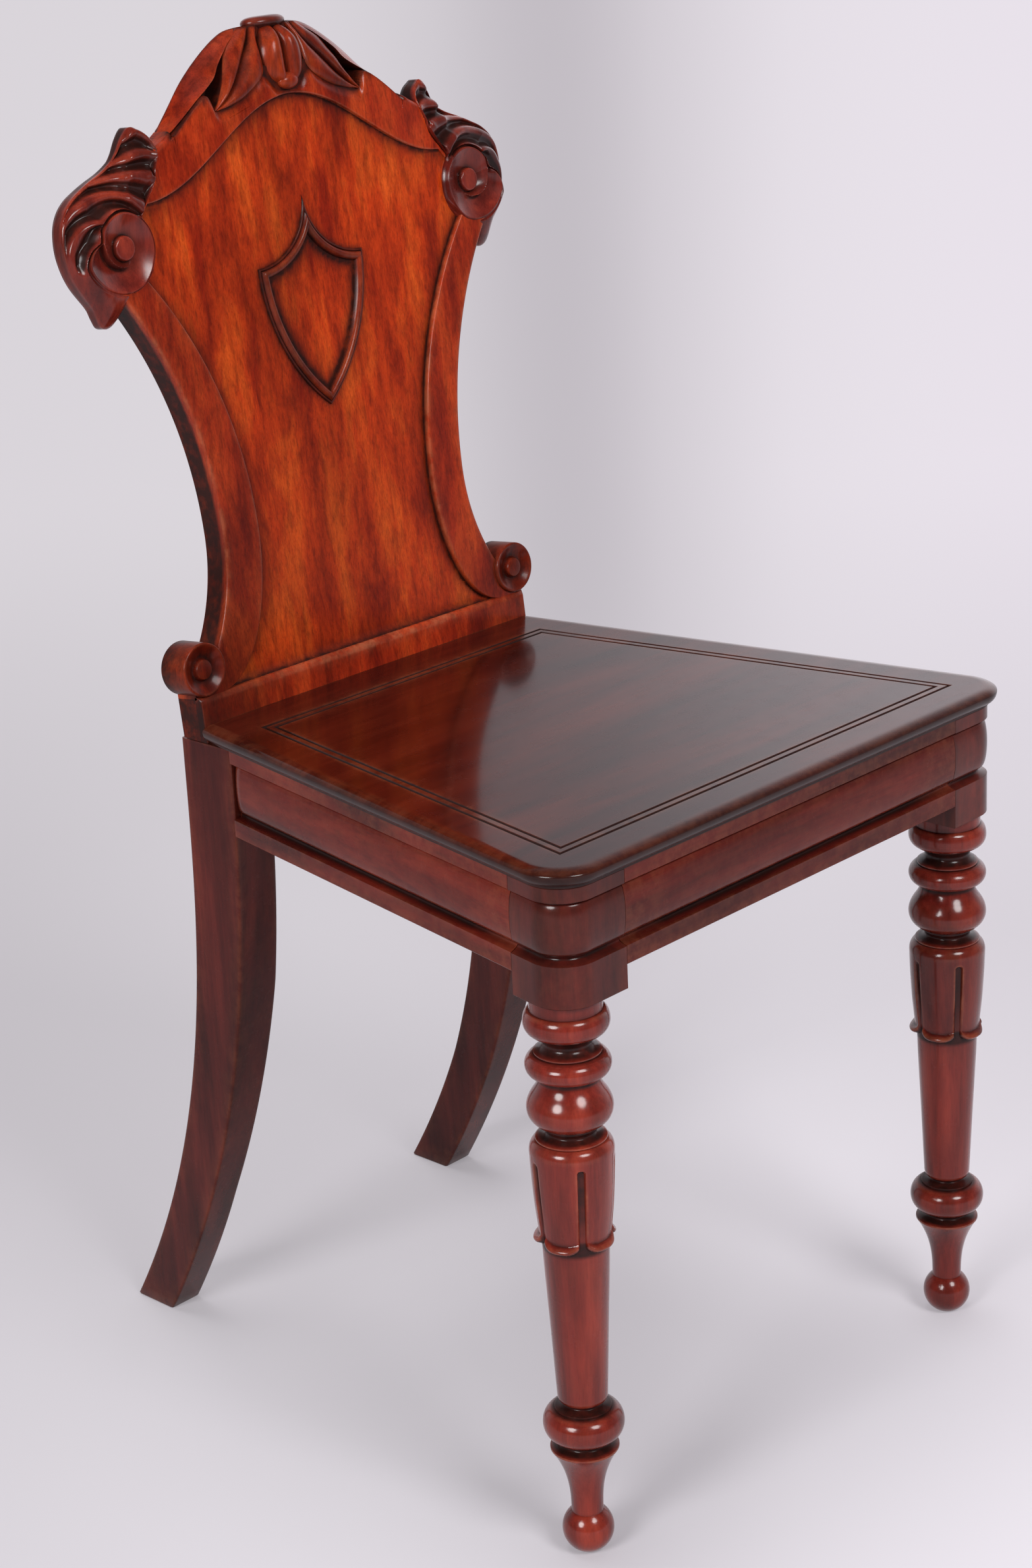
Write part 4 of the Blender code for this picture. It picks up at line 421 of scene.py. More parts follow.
# The crest: shares of CREST_HALF_WIDTH across, and of CREST_FALL or LEAF_FALL below the top
CREST_OUTLINE_SHARES = (
    (0.0, 0.0), (0.18, 0.004), (0.29, 0.018), (0.355, 0.045), (0.435, 0.108), (0.515, 0.188),
    (0.585, 0.268), (0.655, 0.356), (0.755, 0.5), (0.868, 0.7), (0.967, 0.875), (1.06, 0.985),
    (1.13, 1.045), (1.2, 1.095),
)
# Inner leaf from neck to tip: near edge, vein and far edge, each across and down
INNER_LEAF_SHARES = (
    (0.12, 0.02, 0.175, 0.02, 0.25, 0.02),
    (0.16, 0.16, 0.208, 0.15, 0.325, 0.12),
    (0.175, 0.32, 0.258, 0.28, 0.41, 0.25),
    (0.182, 0.5, 0.325, 0.42, 0.462, 0.42),
    (0.205, 0.61, 0.385, 0.55, 0.492, 0.53),
    (0.27, 0.72, 0.44, 0.67, 0.522, 0.65),
    (0.39, 0.85, 0.5, 0.78, 0.557, 0.76),
    (0.515, 0.92, 0.565, 0.88, 0.597, 0.86),
    (0.625, 0.955, 0.63, 0.95, 0.634, 0.94),
)
# Along the inner leaf: share of its length, then the depths of near edge, vein and far edge
INNER_LEAF_DEPTHS = (
    (0.0, 0.013, 0.015, 0.0165), (0.13, 0.0098, 0.0132, 0.015), (0.27, 0.006, 0.0108, 0.0125),
    (0.4, 0.0038, 0.0082, 0.0095), (0.55, 0.003, 0.0066, 0.0072), (0.75, 0.0032, 0.0058, 0.0056),
    (0.9, 0.0036, 0.0048, 0.0044), (1.0, 0.004, 0.0041, 0.004),
)
BUD_SHARES = (
    (0.02, 0.085), (0.12, 0.124), (0.24, 0.156), (0.36, 0.17), (0.48, 0.17), (0.58, 0.16), (0.66, 0.138),
    (0.72, 0.102), (0.765, 0.048),
)
BUD_TIP_RADII = (0.008, 0.0052, 0.005)
BUD_TIP_FALL = 0.0362
BUD_TIP_DEPTH = 0.0028
# The outer leaf along the outline: share of CREST_HALF_WIDTH across, then its near edge across, down and deep
OUTER_LEAF_SHARES = (
    (0.22, 0.19, 0.02, 0.016), (0.36, 0.335, 0.135, 0.0138), (0.48, 0.435, 0.28, 0.0112),
    (0.6, 0.515, 0.42, 0.0092), (0.69, 0.572, 0.556, 0.0078), (0.775, 0.66, 0.675, 0.0066),
    (0.855, 0.765, 0.795, 0.0058), (0.913, 0.853, 0.91, 0.0055), (0.965, 0.93, 1.02, 0.0062),
    (1.02, 1.0, 1.125, 0.0082), (1.08, 1.07, 1.2, 0.011), (1.15, 1.145, 1.264, 0.015),
)
# Two lines under the leaves, one from their tips outwards: above the hem the wood behind them is cut away,
# and at the foot, which is also that of the bud, the rail's face ends
LEAF_TIP_SHARES = (
    (0.64, 0.93), (0.665, 0.81), (0.695, 0.755), (0.77, 0.825), (0.855, 0.94), (0.93, 1.055), (1.0, 1.165),
    (1.1, 1.25), (1.2, 1.32),
)
LEAF_HEM_SHARES = (
    (0.0, 0.6), (0.1, 0.56), (0.17, 0.5), (0.23, 0.5), (0.3, 0.6), (0.38, 0.7), (0.48, 0.8), (0.55, 0.9),
    (0.6, 0.95), *LEAF_TIP_SHARES,
)
LEAF_FOOT_SHARES = (
    (0.0, 0.84), (0.1, 0.8), (0.17, 0.66), (0.21, 0.62), (0.275, 0.72), (0.38, 0.84), (0.505, 0.93),
    (0.61, 0.97), *LEAF_TIP_SHARES,
)

# Layers of the wood's grain: stretch along it, then scale, detail, roughness and distortion of the noise
BROAD_GRAIN = (0.12, 40.0, 5.0, 0.62, 0.35)
RIBBON_GRAIN = (0.06, 260.0, 4.0, 0.65, 0.2)
FIBRE_GRAIN = (0.05, 1100.0, 3.0, 0.6)
PORE_GRAIN = (0.1, 1500.0, 2.0, 0.5)
CLOUD_GRAIN = (0.5, 13.0, 3.0, 0.5, 0.4)
WAVE_GRAIN = (0.4, 30.0, 2.0, 0.5)
PINE_GRAIN = (0.06, 160.0, 5.0, 0.6)
POLISH_SPECKS = (160.0, 3.0, 0.6)
WEAR_PATCHES = (90.0, 3.0, 0.7)
GLOSS_PATCHES = (70.0, 4.0, 0.6)
RUST_PATCHES = (420.0, 4.0)

# Colours of old polish, which also paints the shade in hollows, and of worn wood, and the sheen of the polish
DARK_POLISH_AND_SHADE = (0.012, 0.0045, 0.0035)
WORN_WOOD = (0.34, 0.11, 0.05)
WOOD_SPECULAR = 0.05
POLISH_IOR = 1.41
# The mahogany of each kind of piece: its three colours, and how it differs
WOODS = {
    "field": dict(
        dark=(0.225, 0.012, 0.002), middle=(0.45, 0.037, 0.0045), light=(0.6, 0.08, 0.009), tilt=-RAKE,
        gloss=0.18, coat=0.36,
    ),
    "border": dict(
        dark=(0.145, 0.0075, 0.0022), middle=(0.3, 0.021, 0.004), light=(0.44, 0.047, 0.008), tilt=-RAKE,
        gloss=0.18, coat=0.42,
    ),
    "carved": dict(
        dark=(0.068, 0.0065, 0.0045), middle=(0.148, 0.0145, 0.0085), light=(0.255, 0.029, 0.013), tilt=-RAKE,
        worn=(0.4, 0.11, 0.045), wear=0.14, streak=0.7, gloss=0.19, offset=0.31,
    ),
    "seat": dict(
        dark=(0.016, 0.0018, 0.0014), middle=(0.032, 0.0034, 0.002), light=(0.052, 0.0064, 0.003), along=0,
        wear=0.12, streak=0.6, gloss=0.11, coat=0.78, offset=0.7,
    ),
    "rail": dict(
        dark=(0.045, 0.0035, 0.0025), middle=(0.088, 0.007, 0.0045), light=(0.13, 0.012, 0.007), along=0,
        wear=0.15, streak=0.5, coat=0.4, offset=0.2,
    ),
    "side_rail": dict(
        dark=(0.05, 0.004, 0.0028), middle=(0.105, 0.0085, 0.005), light=(0.16, 0.016, 0.008), along=1,
        wear=0.15, streak=0.5, coat=0.4, offset=0.5,
    ),
    "leg": dict(
        dark=(0.065, 0.006, 0.004), middle=(0.14, 0.014, 0.009), light=(0.225, 0.026, 0.014), wear=0.25,
        streak=0.45, gloss=0.16, offset=0.9,
    ),
    "rear_leg": dict(
        dark=(0.035, 0.0042, 0.0032), middle=(0.066, 0.008, 0.006), light=(0.105, 0.014, 0.0095), wear=0.12,
        streak=0.5, gloss=0.2, coat=0.38, offset=1.3,
    ),
}


def smooth(rows, key):
    """A smooth curve through rows of (key, value), read at any number of keys."""
    keys, values = np.array(rows, float).T
    slopes = np.empty_like(values)
    slopes[1:-1] = (values[2:] - values[:-2]) / (keys[2:] - keys[:-2])
    slopes[0] = (values[1] - values[0]) / (keys[1] - keys[0])
    slopes[-1] = (values[-1] - values[-2]) / (keys[-1] - keys[-2])
    place = np.clip(np.searchsorted(keys, key) - 1, 0, len(keys) - 2)
    span = keys[place + 1] - keys[place]
    t = np.clip((key - keys[place]) / span, 0.0, 1.0)
    return (
        values[place] * (1 + 2 * t) * (1 - t) ** 2
        + slopes[place] * span * t * (1 - t) ** 2
        + values[place + 1] * t * t * (3 - 2 * t)
        - slopes[place + 1] * span * t * t * (1 - t)
    )


def step(low, high, value):
    """Nought below low, one above high, and a smooth ramp between."""
    t = np.clip((value - low) / (high - low), 0.0, 1.0)
    return t * t * (3 - 2 * t)


def seat_point(x, y, z):
    return np.stack(np.broadcast_arrays(x, y + FRAME_SHIFT, z), axis=-1)


def back_point(x, depth, level):
    """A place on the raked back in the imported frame."""
    y = depth * math.cos(RAKE) + level * math.sin(RAKE) + FRAME_SHIFT
    z = SEAT_HEIGHT + level * math.cos(RAKE) - depth * math.sin(RAKE)
    return np.stack(np.broadcast_arrays(x, y, z), axis=-1)


def full_turn(count):
    """The angles of that many points round a circle."""
    return np.linspace(0.0, 2 * math.pi, count + 1)[:-1]


def quarter_turn(steps):
    return np.linspace(0.0, math.pi / 2, steps + 1)


def loft(rings, hoop=False):
    """The points and faces of a closed body through rings, which are capped, or joined last to first."""
    rings = np.asarray(rings)
    rows, count = rings.shape[:2]
    index = np.arange(rows * count).reshape(rows, count)
    if hoop:
        index = np.vstack((index, index[:1]))
    after = np.roll(index, -1, axis=1)
    faces = np.stack((index[:-1], after[:-1], after[1:], index[1:]), axis=-1).reshape(-1, 4).tolist()
    if not hoop:
        faces += [index[0][::-1].tolist(), index[-1].tolist()]
    return rings.reshape(-1, 3), faces


def support(points, near, far, closed=True):
    """Adds points beside each corner of a profile and along its long sides, so that shading stays local."""
    rows = []
    ends = np.roll(points, -1, axis=0) if closed else points[1:]
    for start, end in zip(points, ends):
        length = float(np.linalg.norm(end - start))
        rows.append(start)
        if length > 3 * near:
            places = np.linspace(near, length - near, max(int(length / far), 1) + 1)
            rows += [start + (end - start) * place / length for place in places]
    if not closed:
        rows.append(points[-1])
    return np.array(rows)


def raked(points):
    """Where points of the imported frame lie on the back: x, depth and level."""
    forward, up = points[:, 1] - FRAME_SHIFT, points[:, 2] - SEAT_HEIGHT
    depth = forward * math.cos(RAKE) - up * math.sin(RAKE)
    return points[:, 0], depth, up * math.cos(RAKE) + forward * math.sin(RAKE)


def back_disc(side, across, level, radius, depth, turns):
    """A ring of points round a place on the back."""
    return back_point(side * (across + radius * np.cos(turns)), depth, level + radius * np.sin(turns))


def faded(distance, strength, reach):
    """Darkness that falls off with the distance from what it gathers against."""
    return strength * np.exp(-distance / reach)


def read(items, key, size, kind=np.float32):
    """One measure of a mesh's points or edges as an array, a row for each."""
    values = np.empty(len(items) * size, kind)
    items.foreach_get(key, values)
    return values.reshape(-1, size)


def worn_and_shaded(mesh):
    """How sharp and how hollow the surface is at each point, for polish that wears on arrises, and for dark
    polish and painted shade in hollows.
    """
    points = read(mesh.vertices, "co", 3).astype(float)
    normals = read(mesh.vertex_normals, "vector", 3)
    one, two = read(mesh.edges, "vertices", 2, np.int32).T
    count = len(points)
    weight = 1.0 / np.maximum(np.linalg.norm(points[one] - points[two], axis=1), 1e-5)
    total = np.bincount(one, weight, count) + np.bincount(two, weight, count)
    relaxed = points.copy()
    for turn in range(HOLLOW_PASSES):
        for column in relaxed.T:
            pulled = np.bincount(one, weight * column[two], count)
            pulled += np.bincount(two, weight * column[one], count)
            column[:] = 0.5 * column + 0.5 * pulled / np.maximum(total, 1e-9)
        if turn == ARRIS_PASSES:
            sharpness = -((relaxed - points) * normals).sum(1)
    hollowness = ((relaxed - points) * normals).sum(1)
    return np.clip(sharpness / ARRIS_REACH, 0.0, 1.0), np.clip(hollowness / HOLLOW_REACH, 0.0, 1.0)


def add_object(name, data):
    item = bpy.data.objects.new(name, data)
    bpy.context.scene.collection.objects.link(item)
    return item


def make(name, bodies, material, sharp_deg, *nodes, gloom=None, seams=None):
    """Joins bodies into one piece that rides on the chair and stands for the named solids.

    gloom gives the least darkness of each point, old polish and painted shade, and seams is nought where an
    edge is only a hidden joint.
    """
    points, faces, start = [], [], 0
    for body_points, body_faces in bodies:
        points.append(body_points)
        faces += [[start + i for i in face] for face in body_faces]
        start += len(body_points)
    points = np.concatenate(points)
    mesh = bpy.data.meshes.new(name)
    mesh.from_pydata(points.tolist(), [], faces)
    shape = bmesh.new()
    shape.from_mesh(mesh)
    bmesh.ops.recalc_face_normals(shape, faces=shape.faces)
    shape.to_mesh(mesh)
    shape.free()
    mesh.shade_smooth()
    mesh.set_sharp_from_angle(angle=math.radians(sharp_deg))
    mesh.materials.append(material)
    worn, dark = worn_and_shaded(mesh)
    if gloom is not None:
        dark = np.maximum(dark, gloom(points) if callable(gloom) else gloom)
        worn = worn * (1 - dark) ** 2
    if seams is not None:
        worn = worn * seams(points)
    for key, values in (("arris", worn), ("hollow", dark)):
        layer = mesh.attributes.new(key, "FLOAT", "POINT")
        layer.data.foreach_set("value", values.astype(np.float32))
    piece = add_object(name, mesh)
    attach(piece, "root")
    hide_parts(*nodes)
    return piece


# Seat frame


def side_x(y, outward):
    return SEAT_FRAME_BACK_WIDTH / 2 - y * math.tan(SPLAY) + outward / math.cos(SPLAY)


FRAME_TOP = SEAT_HEIGHT - SEAT_THICKNESS
RAIL_HEIGHT = FASCIA_HEIGHT + QUIRK_HEIGHT + FRIEZE_HEIGHT + CAVETTO_HEIGHT + RAIL_BAND_HEIGHT
CORNER_CENTRE_Y = CORNER_RADIUS - SEAT_FRAME_DEPTH
CORNER_CENTRE_X = side_x(CORNER_CENTRE_Y, -CORNER_RADIUS)
LEG_Y = LEG_INSET - SEAT_FRAME_DEPTH
LEG_X = side_x(LEG_Y, -LEG_SIDE_INSET)
BLOCK_REAR_Y = LEG_Y + BLOCK_REAR_REACH
BLOCK_INNER_X = LEG_X - BLOCK_INNER_REACH


def corner_arc(outward, steps):
    turn = np.linspace(-math.pi / 2, SPLAY, steps + 1)
    radius = CORNER_RADIUS + outward
    return CORNER_CENTRE_X + radius * np.cos(turn), CORNER_CENTRE_Y + radius * np.sin(turn)


def moulding(band_height):
    """The rail's profile as rows of (outward, drop), downwards, with eased arrises."""
    ease = EDGE_EASE
    points = [(-ease, 0.0), (0.0, ease), (0.0, FASCIA_HEIGHT - ease), (-ease, FASCIA_HEIGHT)]
    drop = FASCIA_HEIGHT + QUIRK_HEIGHT
    points += [(-QUIRK_DEPTH, FASCIA_HEIGHT + ease), (-QUIRK_DEPTH, drop)]
    for turn in np.linspace(0.0, math.pi, 25)[1:]:
        points.append((QUIRK_DEPTH * (math.sin(turn) - 1), drop + FRIEZE_HEIGHT * (1 - math.cos(turn)) / 2))
    drop += FRIEZE_HEIGHT
    for share in np.linspace(0.0, 1.0, 11)[1:]:
        dip = (CAVETTO_DEPTH - QUIRK_DEPTH * (1 - share)) * math.sin(math.pi * share)
        points.append((-QUIRK_DEPTH * (1 - share) - dip, drop + CAVETTO_HEIGHT * share))
    drop += CAVETTO_HEIGHT
    points += [(0.0, drop + ease), (0.0, drop + band_height - ease), (-ease, drop + band_height)]
    return support(np.array(points), near=0.001, far=0.004, closed=False)


def rail_section():
    top, bottom = (-EDGE_SUPPORT, 0.0), (-EDGE_SUPPORT, RAIL_HEIGHT)
    inner = [(-RAIL_THICKNESS, RAIL_HEIGHT), (-RAIL_THICKNESS, 0.0)]
    return np.vstack((moulding(RAIL_BAND_HEIGHT), [bottom], inner, [top]))


def add_rails(material_front, material_side):
    """The front rail, and the side rails, whose moulding rounds in just before the rear leg."""
    outward, drop = rail_section().T
    reach = BLOCK_INNER_X - GAP
    rings = np.array([
        seat_point(x, -SEAT_FRAME_DEPTH - outward, FRAME_TOP - drop) for x in np.linspace(-reach, reach, 9)
    ])
    make("fine_front_rail", [loft(rings)], material_front, 35, "front_rail")
    start, end = BLOCK_REAR_Y + GAP, REAR_LEG_TOP_FRONT - GAP
    straight = 1 - RAIL_RETURN_SHARE
    rounded = 1 - RAIL_RETURN_SHARE * np.cos(np.linspace(0.3, 1.57, 7))
    frieze = (drop > FASCIA_HEIGHT) & (drop < RAIL_HEIGHT - RAIL_BAND_HEIGHT) & (outward > -RAIL_THICKNESS)
    for side, word in SIDES:
        rings = []
        for share in np.concatenate((np.linspace(0.0, straight, 8), rounded)):
            y = start + (end - start) * share
            fade = math.sqrt(max(1 - max((share - straight) / RAIL_RETURN_SHARE, 0.0) ** 2, 0.0))
            held = np.where(frieze, -CAVETTO_DEPTH + (outward + CAVETTO_DEPTH) * fade, outward)
            rings.append(seat_point(side * side_x(y, held), y, FRAME_TOP - drop))
        make(f"fine_{word}_side_rail", [loft(rings)], material_side, 35, f"{word}_side_rail")


def mirrored(x, y):
    """A half outline, both ends on the middle line, made whole."""
    return np.concatenate((x, -x[-2:0:-1])), np.concatenate((y, y[-2:0:-1]))


def seat_outline(arc_x, arc_y, last_x, back_y):
    """An outline from the front's middle, round a corner's arc and along the side to the back, made whole."""
    along = np.linspace(0.0, 1.0, 8)[1:]
    side_x_row = arc_x[-1] + (last_x - arc_x[-1]) * along
    side_y_row = arc_y[-1] + (back_y - arc_y[-1]) * along
    x = np.concatenate(([0.0, arc_x[0] / 2], arc_x, side_x_row, [last_x / 2, 0.0]))
    return mirrored(x, np.concatenate(([arc_y[0]] * 2, arc_y, side_y_row, [back_y] * 2)))


def seat_ring(outward, drop):
    """The seat board's outline at one drop below its top."""
    back_y = -drop * math.tan(RAKE) - GAP
    return seat_outline(*corner_arc(outward, 16), side_x(back_y, outward), back_y)


def line_ring(inset):
    """The same points drawn in to a splayed rectangle with nearly square corners."""
    front_y = inset - NOSE_OVERHANG - SEAT_FRAME_DEPTH
    back_y = -inset + LINE_INSET - LINE_BACK_INSET
    outward = NOSE_OVERHANG - inset
    along = np.linspace(-1.0, 1.0, 17)
    before, after = (LINE_CORNER_EASE * np.maximum(part, 0.0) ** 1.5 for part in (-along, along))
    arc_x = side_x(front_y, outward) - before - math.sin(SPLAY) * after
    return seat_outline(arc_x, front_y + after, side_x(back_y, outward), back_y)


def add_seat(material):
    """The seat board from its underside, over the thumbnail edge, to the incised lines in its top."""
    fillet_top = SEAT_THICKNESS - NOSE_FILLET_HEIGHT
    levels = [(-UNDERSIDE_INSET, SEAT_THICKNESS), (NOSE_FILLET_PROUD, SEAT_THICKNESS)]
    levels.append((NOSE_FILLET_PROUD, fillet_top))
    under, reach = fillet_top - NOSE_ROUND_HEIGHT, NOSE_OVERHANG - NOSE_FILLET_PROUD
    for turn in quarter_turn(10)[1:]:
        drop = NOSE_ROUND_HEIGHT + under * math.cos(turn)
        levels.append((NOSE_FILLET_PROUD + reach * math.sin(turn), drop))
    for turn in quarter_turn(10)[1:]:
        drop = NOSE_ROUND_HEIGHT * (1 - math.sin(turn))
        levels.append((NOSE_OVERHANG - NOSE_ROUND_WIDTH * (1 - math.cos(turn)), drop))
    rings = [seat_point(*seat_ring(outward, drop), SEAT_HEIGHT - drop) for outward, drop in levels]
    outer = np.array(seat_ring(NOSE_OVERHANG - NOSE_ROUND_WIDTH, 0.0))
    inner = np.array(line_ring(LINE_INSET - LINE_WIDTH))
    for share in (0.05, 0.12, 0.5, 0.88, 0.95, 1.0):
        rings.append(seat_point(*(outer + (inner - outer) * share), SEAT_HEIGHT))
    for centre in (LINE_INSET, LINE_INSET + LINE_SPACING):
        for across in np.linspace(-1.0, 1.0, 9):
            sunk = LINE_DEPTH * math.cos(across * math.pi / 2) ** LINE_BOTTOM_POWER
            rings.append(seat_point(*line_ring(centre + LINE_WIDTH / 2 * across), SEAT_HEIGHT - sunk))
    for spacings in (1.3, 1.5, 2.0, 4.0):
        rings.append(seat_point(*line_ring(LINE_INSET + LINE_SPACING * spacings), SEAT_HEIGHT))
    make("fine_seat", [loft(rings)], material, 30, "seat_top", gloom=line_gloom)


def line_gloom(points):
    """Black in the incised lines, and dark polish with painted shade on the edge's lower part."""
    sunk, y = SEAT_HEIGHT - points[:, 2], points[:, 1] - FRAME_SHIFT
    inside = (np.abs(points[:, 0]) < side_x(y, -0.012)) & (y > 0.012 - SEAT_FRAME_DEPTH)
    line = np.where(inside & (sunk < 2 * LINE_DEPTH), np.clip(sunk / (LINE_DEPTH * 0.5), 0.0, 1.0), 0.0)
    edge = np.where(inside, 0.0, 0.6 * np.clip((sunk - 0.0006) / 0.003, 0.0, 1.0))
    return np.maximum(line, edge)


# Front legs


def turned(pieces, start):
    """A turning's profile, downwards, as rows of (radius, level)."""
    radius, level = start
    rows = [start]
    for kind, foot, foot_radius, *between in pieces:
        height, change = level - foot, foot_radius - radius
        middle = between[0] if between else None
        if kind == "line":
            rows.append((foot_radius, foot))
        elif kind == "bulb":
            rows += [(float(smooth(BULB_RADII, at)), at) for at in np.linspace(level, foot, 40)[1:]]
        elif kind == "bead":
            steps = max(int(height / BEAD_ROW_HEIGHT), 14)
            for turn in np.linspace(0.0, math.pi, steps + 1)[1:]:
                root = radius if turn < math.pi / 2 else foot_radius
                drop = height * (1 - math.cos(turn)) / 2
                rows.append((root + (middle - root) * math.sin(turn), level - drop))
        elif kind == "cove":
            pull = 2 * middle - (radius + foot_radius) / 2
            for t in np.linspace(0.0, 1.0, 13)[1:]:
                bend = (1 - t) ** 2 * radius + 2 * t * (1 - t) * pull + t * t * foot_radius
                rows.append((max(bend, middle * 0.98), level - height * t**COVE_POWER))
        elif kind == "shoulder":
            for turn in quarter_turn(12)[1:]:
                rows.append((radius + change * math.sin(turn), level - height * (1 - math.cos(turn))))
        elif kind == "heel":
            for turn in quarter_turn(8)[1:]:
                rows.append((radius + change * (1 - math.cos(turn)), level - height * math.sin(turn)))
        elif kind == "stem":
            for t in np.linspace(0.0, 1.0, 25)[1:]:
                rows.append((foot_radius - change * (1 - t) ** STEM_POWER, level - height * t))
        elif kind == "ball":
            first, last = math.asin(radius / middle), math.pi - math.asin(foot_radius / middle)
            for turn in np.linspace(first, last, 25)[1:]:
                rows.append((middle * math.sin(turn), BALL_CENTRE + middle * math.cos(turn)))
        radius, level = rows[-1]
    return support(np.array(rows), near=0.0004, far=0.0016, closed=False)


def leg_rings(centre_x, centre_y, turns):
    """The leg as rings of points, with its lappets cut into the rows between the two turnings."""
    half = math.pi / LAPPET_COUNT
    off = np.abs((turns + math.pi / 2 + half) % (2 * half) - half)
    slot = half - off
    lappets = []
    for level in np.concatenate((np.linspace(*LAPPET_ROWS), np.linspace(*SHAFT_ROWS))):
        plain, sleeve = smooth(SHAFT_RADII, level), smooth(SLEEVE_RADII, level)
        over = level - LAPPET_TOP + SLOT_HALF_WIDTH
        beside = np.hypot(slot * sleeve, max(over, 0.0)) - SLOT_HALF_WIDTH
        across = np.minimum(off / (half - SLOT_HALF_WIDTH / sleeve), 1.0) ** 3
        above = level - LAPPET_FOOT - LAPPET_RISE * (1 - np.sqrt(1 - across))
        kept = step(0.0, CUT_SLOPE, np.minimum(beside, above))
        lip = np.clip(above / LAPPET_LIP_HEIGHT, 0.0, 1.0)
        swell = np.sin(math.pi * lip**0.75) ** 1.2 * step(0.0, 1.0, (1.0 - lip) * 3)
        roll = LIP_PROUD * (1 - LIP_TAPER * across) * swell
        lappets.append((plain + (sleeve + roll - plain) * kept, level))
    rings = [*turned(UPPER_TURNING, UPPER_START), *lappets, *turned(LOWER_TURNING, LOWER_START)]
    return np.array([
        seat_point(centre_x + radius * np.cos(turns), centre_y + radius * np.sin(turns), level)
        for radius, level in rings
    ])


def leg_gloom(rings):
    """Dark polish and painted shade wherever the leg is narrower than the turnings just above and below."""
    radius = np.linalg.norm(rings[:, :, :2] - rings[:, :, :2].mean(axis=1, keepdims=True), axis=2)
    widest, level = radius.max(axis=1), rings[:, 0, 2]
    hull = np.array([(widest - LEG_GLOOM_SLOPE * np.abs(level - at)).max() for at in level])
    return LEG_GLOOM * np.clip((hull[:, None] - radius - 0.0005) / LEG_GLOOM_DEPTH, 0.0, 1.0)


def block_rings(side):
    """The leg's corner block with the rails' moulding round its two outer faces."""
    beside = np.array((0.08, 0.5, 0.92))
    rings = []
    for outward, drop in moulding(BLOCK_BAND_HEIGHT):
        arc_x, arc_y = corner_arc(outward, 20)
        rear_x = side_x(BLOCK_REAR_Y, outward)
        front_x = BLOCK_INNER_X + (arc_x[0] - BLOCK_INNER_X) * beside
        flank_x = arc_x[-1] + (rear_x - arc_x[-1]) * beside
        flank_y = arc_y[-1] + (BLOCK_REAR_Y - arc_y[-1]) * beside
        x = np.concatenate(([BLOCK_INNER_X], front_x, arc_x, flank_x, [rear_x, BLOCK_INNER_X]))
        y = np.concatenate(([-SEAT_FRAME_DEPTH - outward] * 4, arc_y, flank_y, [BLOCK_REAR_Y] * 2))
        rings.append(seat_point(side * x, y, FRAME_TOP - GAP - drop))
    return np.array(rings)


def add_front_legs(material):
    turns = full_turn(240)
    for side, word in SIDES:
        corner, rings = loft(block_rings(side)), leg_rings(side * LEG_X, LEG_Y, turns)
        gloom = np.concatenate((np.full(len(corner[0]), BLOCK_GLOOM), leg_gloom(rings).reshape(-1)))
        make(f"fine_front_{word}_leg", [corner, loft(rings)], material, 38, f"front_{word}_leg", gloom=gloom)


def rounded_rectangle(half_x, half_y, radius):
    """A plan with rounded corners, and points along its sides that keep the shading flat."""
    corners = []
    for number, (sign_x, sign_y) in enumerate(((1, 1), (-1, 1), (-1, -1), (1, -1))):
        turn = quarter_turn(4) + number * math.pi / 2
        x = sign_x * (half_x - radius) + radius * np.cos(turn)
        corners.append(np.stack((x, sign_y * (half_y - radius) + radius * np.sin(turn)), axis=1))
    along = np.array((0.06, 0.3, 0.7, 0.94))[:, None]
    plan = []
    for one, two in zip(corners, corners[1:] + corners[:1]):
        plan += [one, one[-1] + (two[0] - one[-1]) * along]
    return np.concatenate(plan)


def add_rear_legs(material):
    """Sabre legs, which sweep backwards and taper below the bend."""
    heights = np.linspace(LEG_ARRIS, FRAME_TOP - GAP, 60)
    for side, word in SIDES:
        rings = []
        for level in np.concatenate(([0.0], heights[:-1], [heights[-1] - 0.0015], heights[-1:])):
            bend = max(1 - level / REAR_LEG_BEND_HEIGHT, 0.0)
            front = REAR_LEG_TOP_FRONT + REAR_LEG_FRONT_SWEEP * bend**FRONT_SWEEP_POWER
            rear = REAR_LEG_TOP_BACK + REAR_LEG_BACK_SWEEP * bend**BACK_SWEEP_POWER
            taper = min(max((bend - REAR_LEG_TAPER_START) / REAR_LEG_TAPER_SPAN, 0.0), 1.0)
            width = REAR_LEG_TOP_WIDTH + (REAR_LEG_FOOT_WIDTH - REAR_LEG_TOP_WIDTH) * taper
            inset = LEG_ARRIS * 0.6 if level == 0.0 else 0.0
            plan = rounded_rectangle(width / 2 - inset, (rear - front) / 2 - inset, LEG_ARRIS)
            x, y = (plan + (REAR_LEG_OUTER - width / 2, (front + rear) / 2)).T
            rings.append(seat_point(side * x, y, level))
        make(f"fine_rear_{word}_leg", [loft(rings)], material, 35, f"rear_{word}_leg")


# Back


def hollow_radius(width):
    return ((SCROLL_LEVEL - WAIST_LEVEL) ** 2 + width**2) / (2 * width)


OUTER_UPPER_RADIUS = hollow_radius(SHOULDER_HALF_WIDTH - WAIST_HALF_WIDTH)
INNER_UPPER_RADIUS = hollow_radius(FIELD_SHOULDER_HALF_WIDTH - WAIST_HALF_WIDTH + STILE_WAIST_WIDTH)


def foot_level(depth):
    return (GAP - SEAT_THICKNESS + depth * math.sin(RAKE)) / math.cos(RAKE)


def outer_edge(level):
    radius = np.where(level > WAIST_LEVEL, OUTER_UPPER_RADIUS, OUTER_LOWER_RADIUS)
    rise = np.minimum(np.abs(level - WAIST_LEVEL), radius)
    return WAIST_HALF_WIDTH + radius - np.sqrt(radius**2 - rise**2)


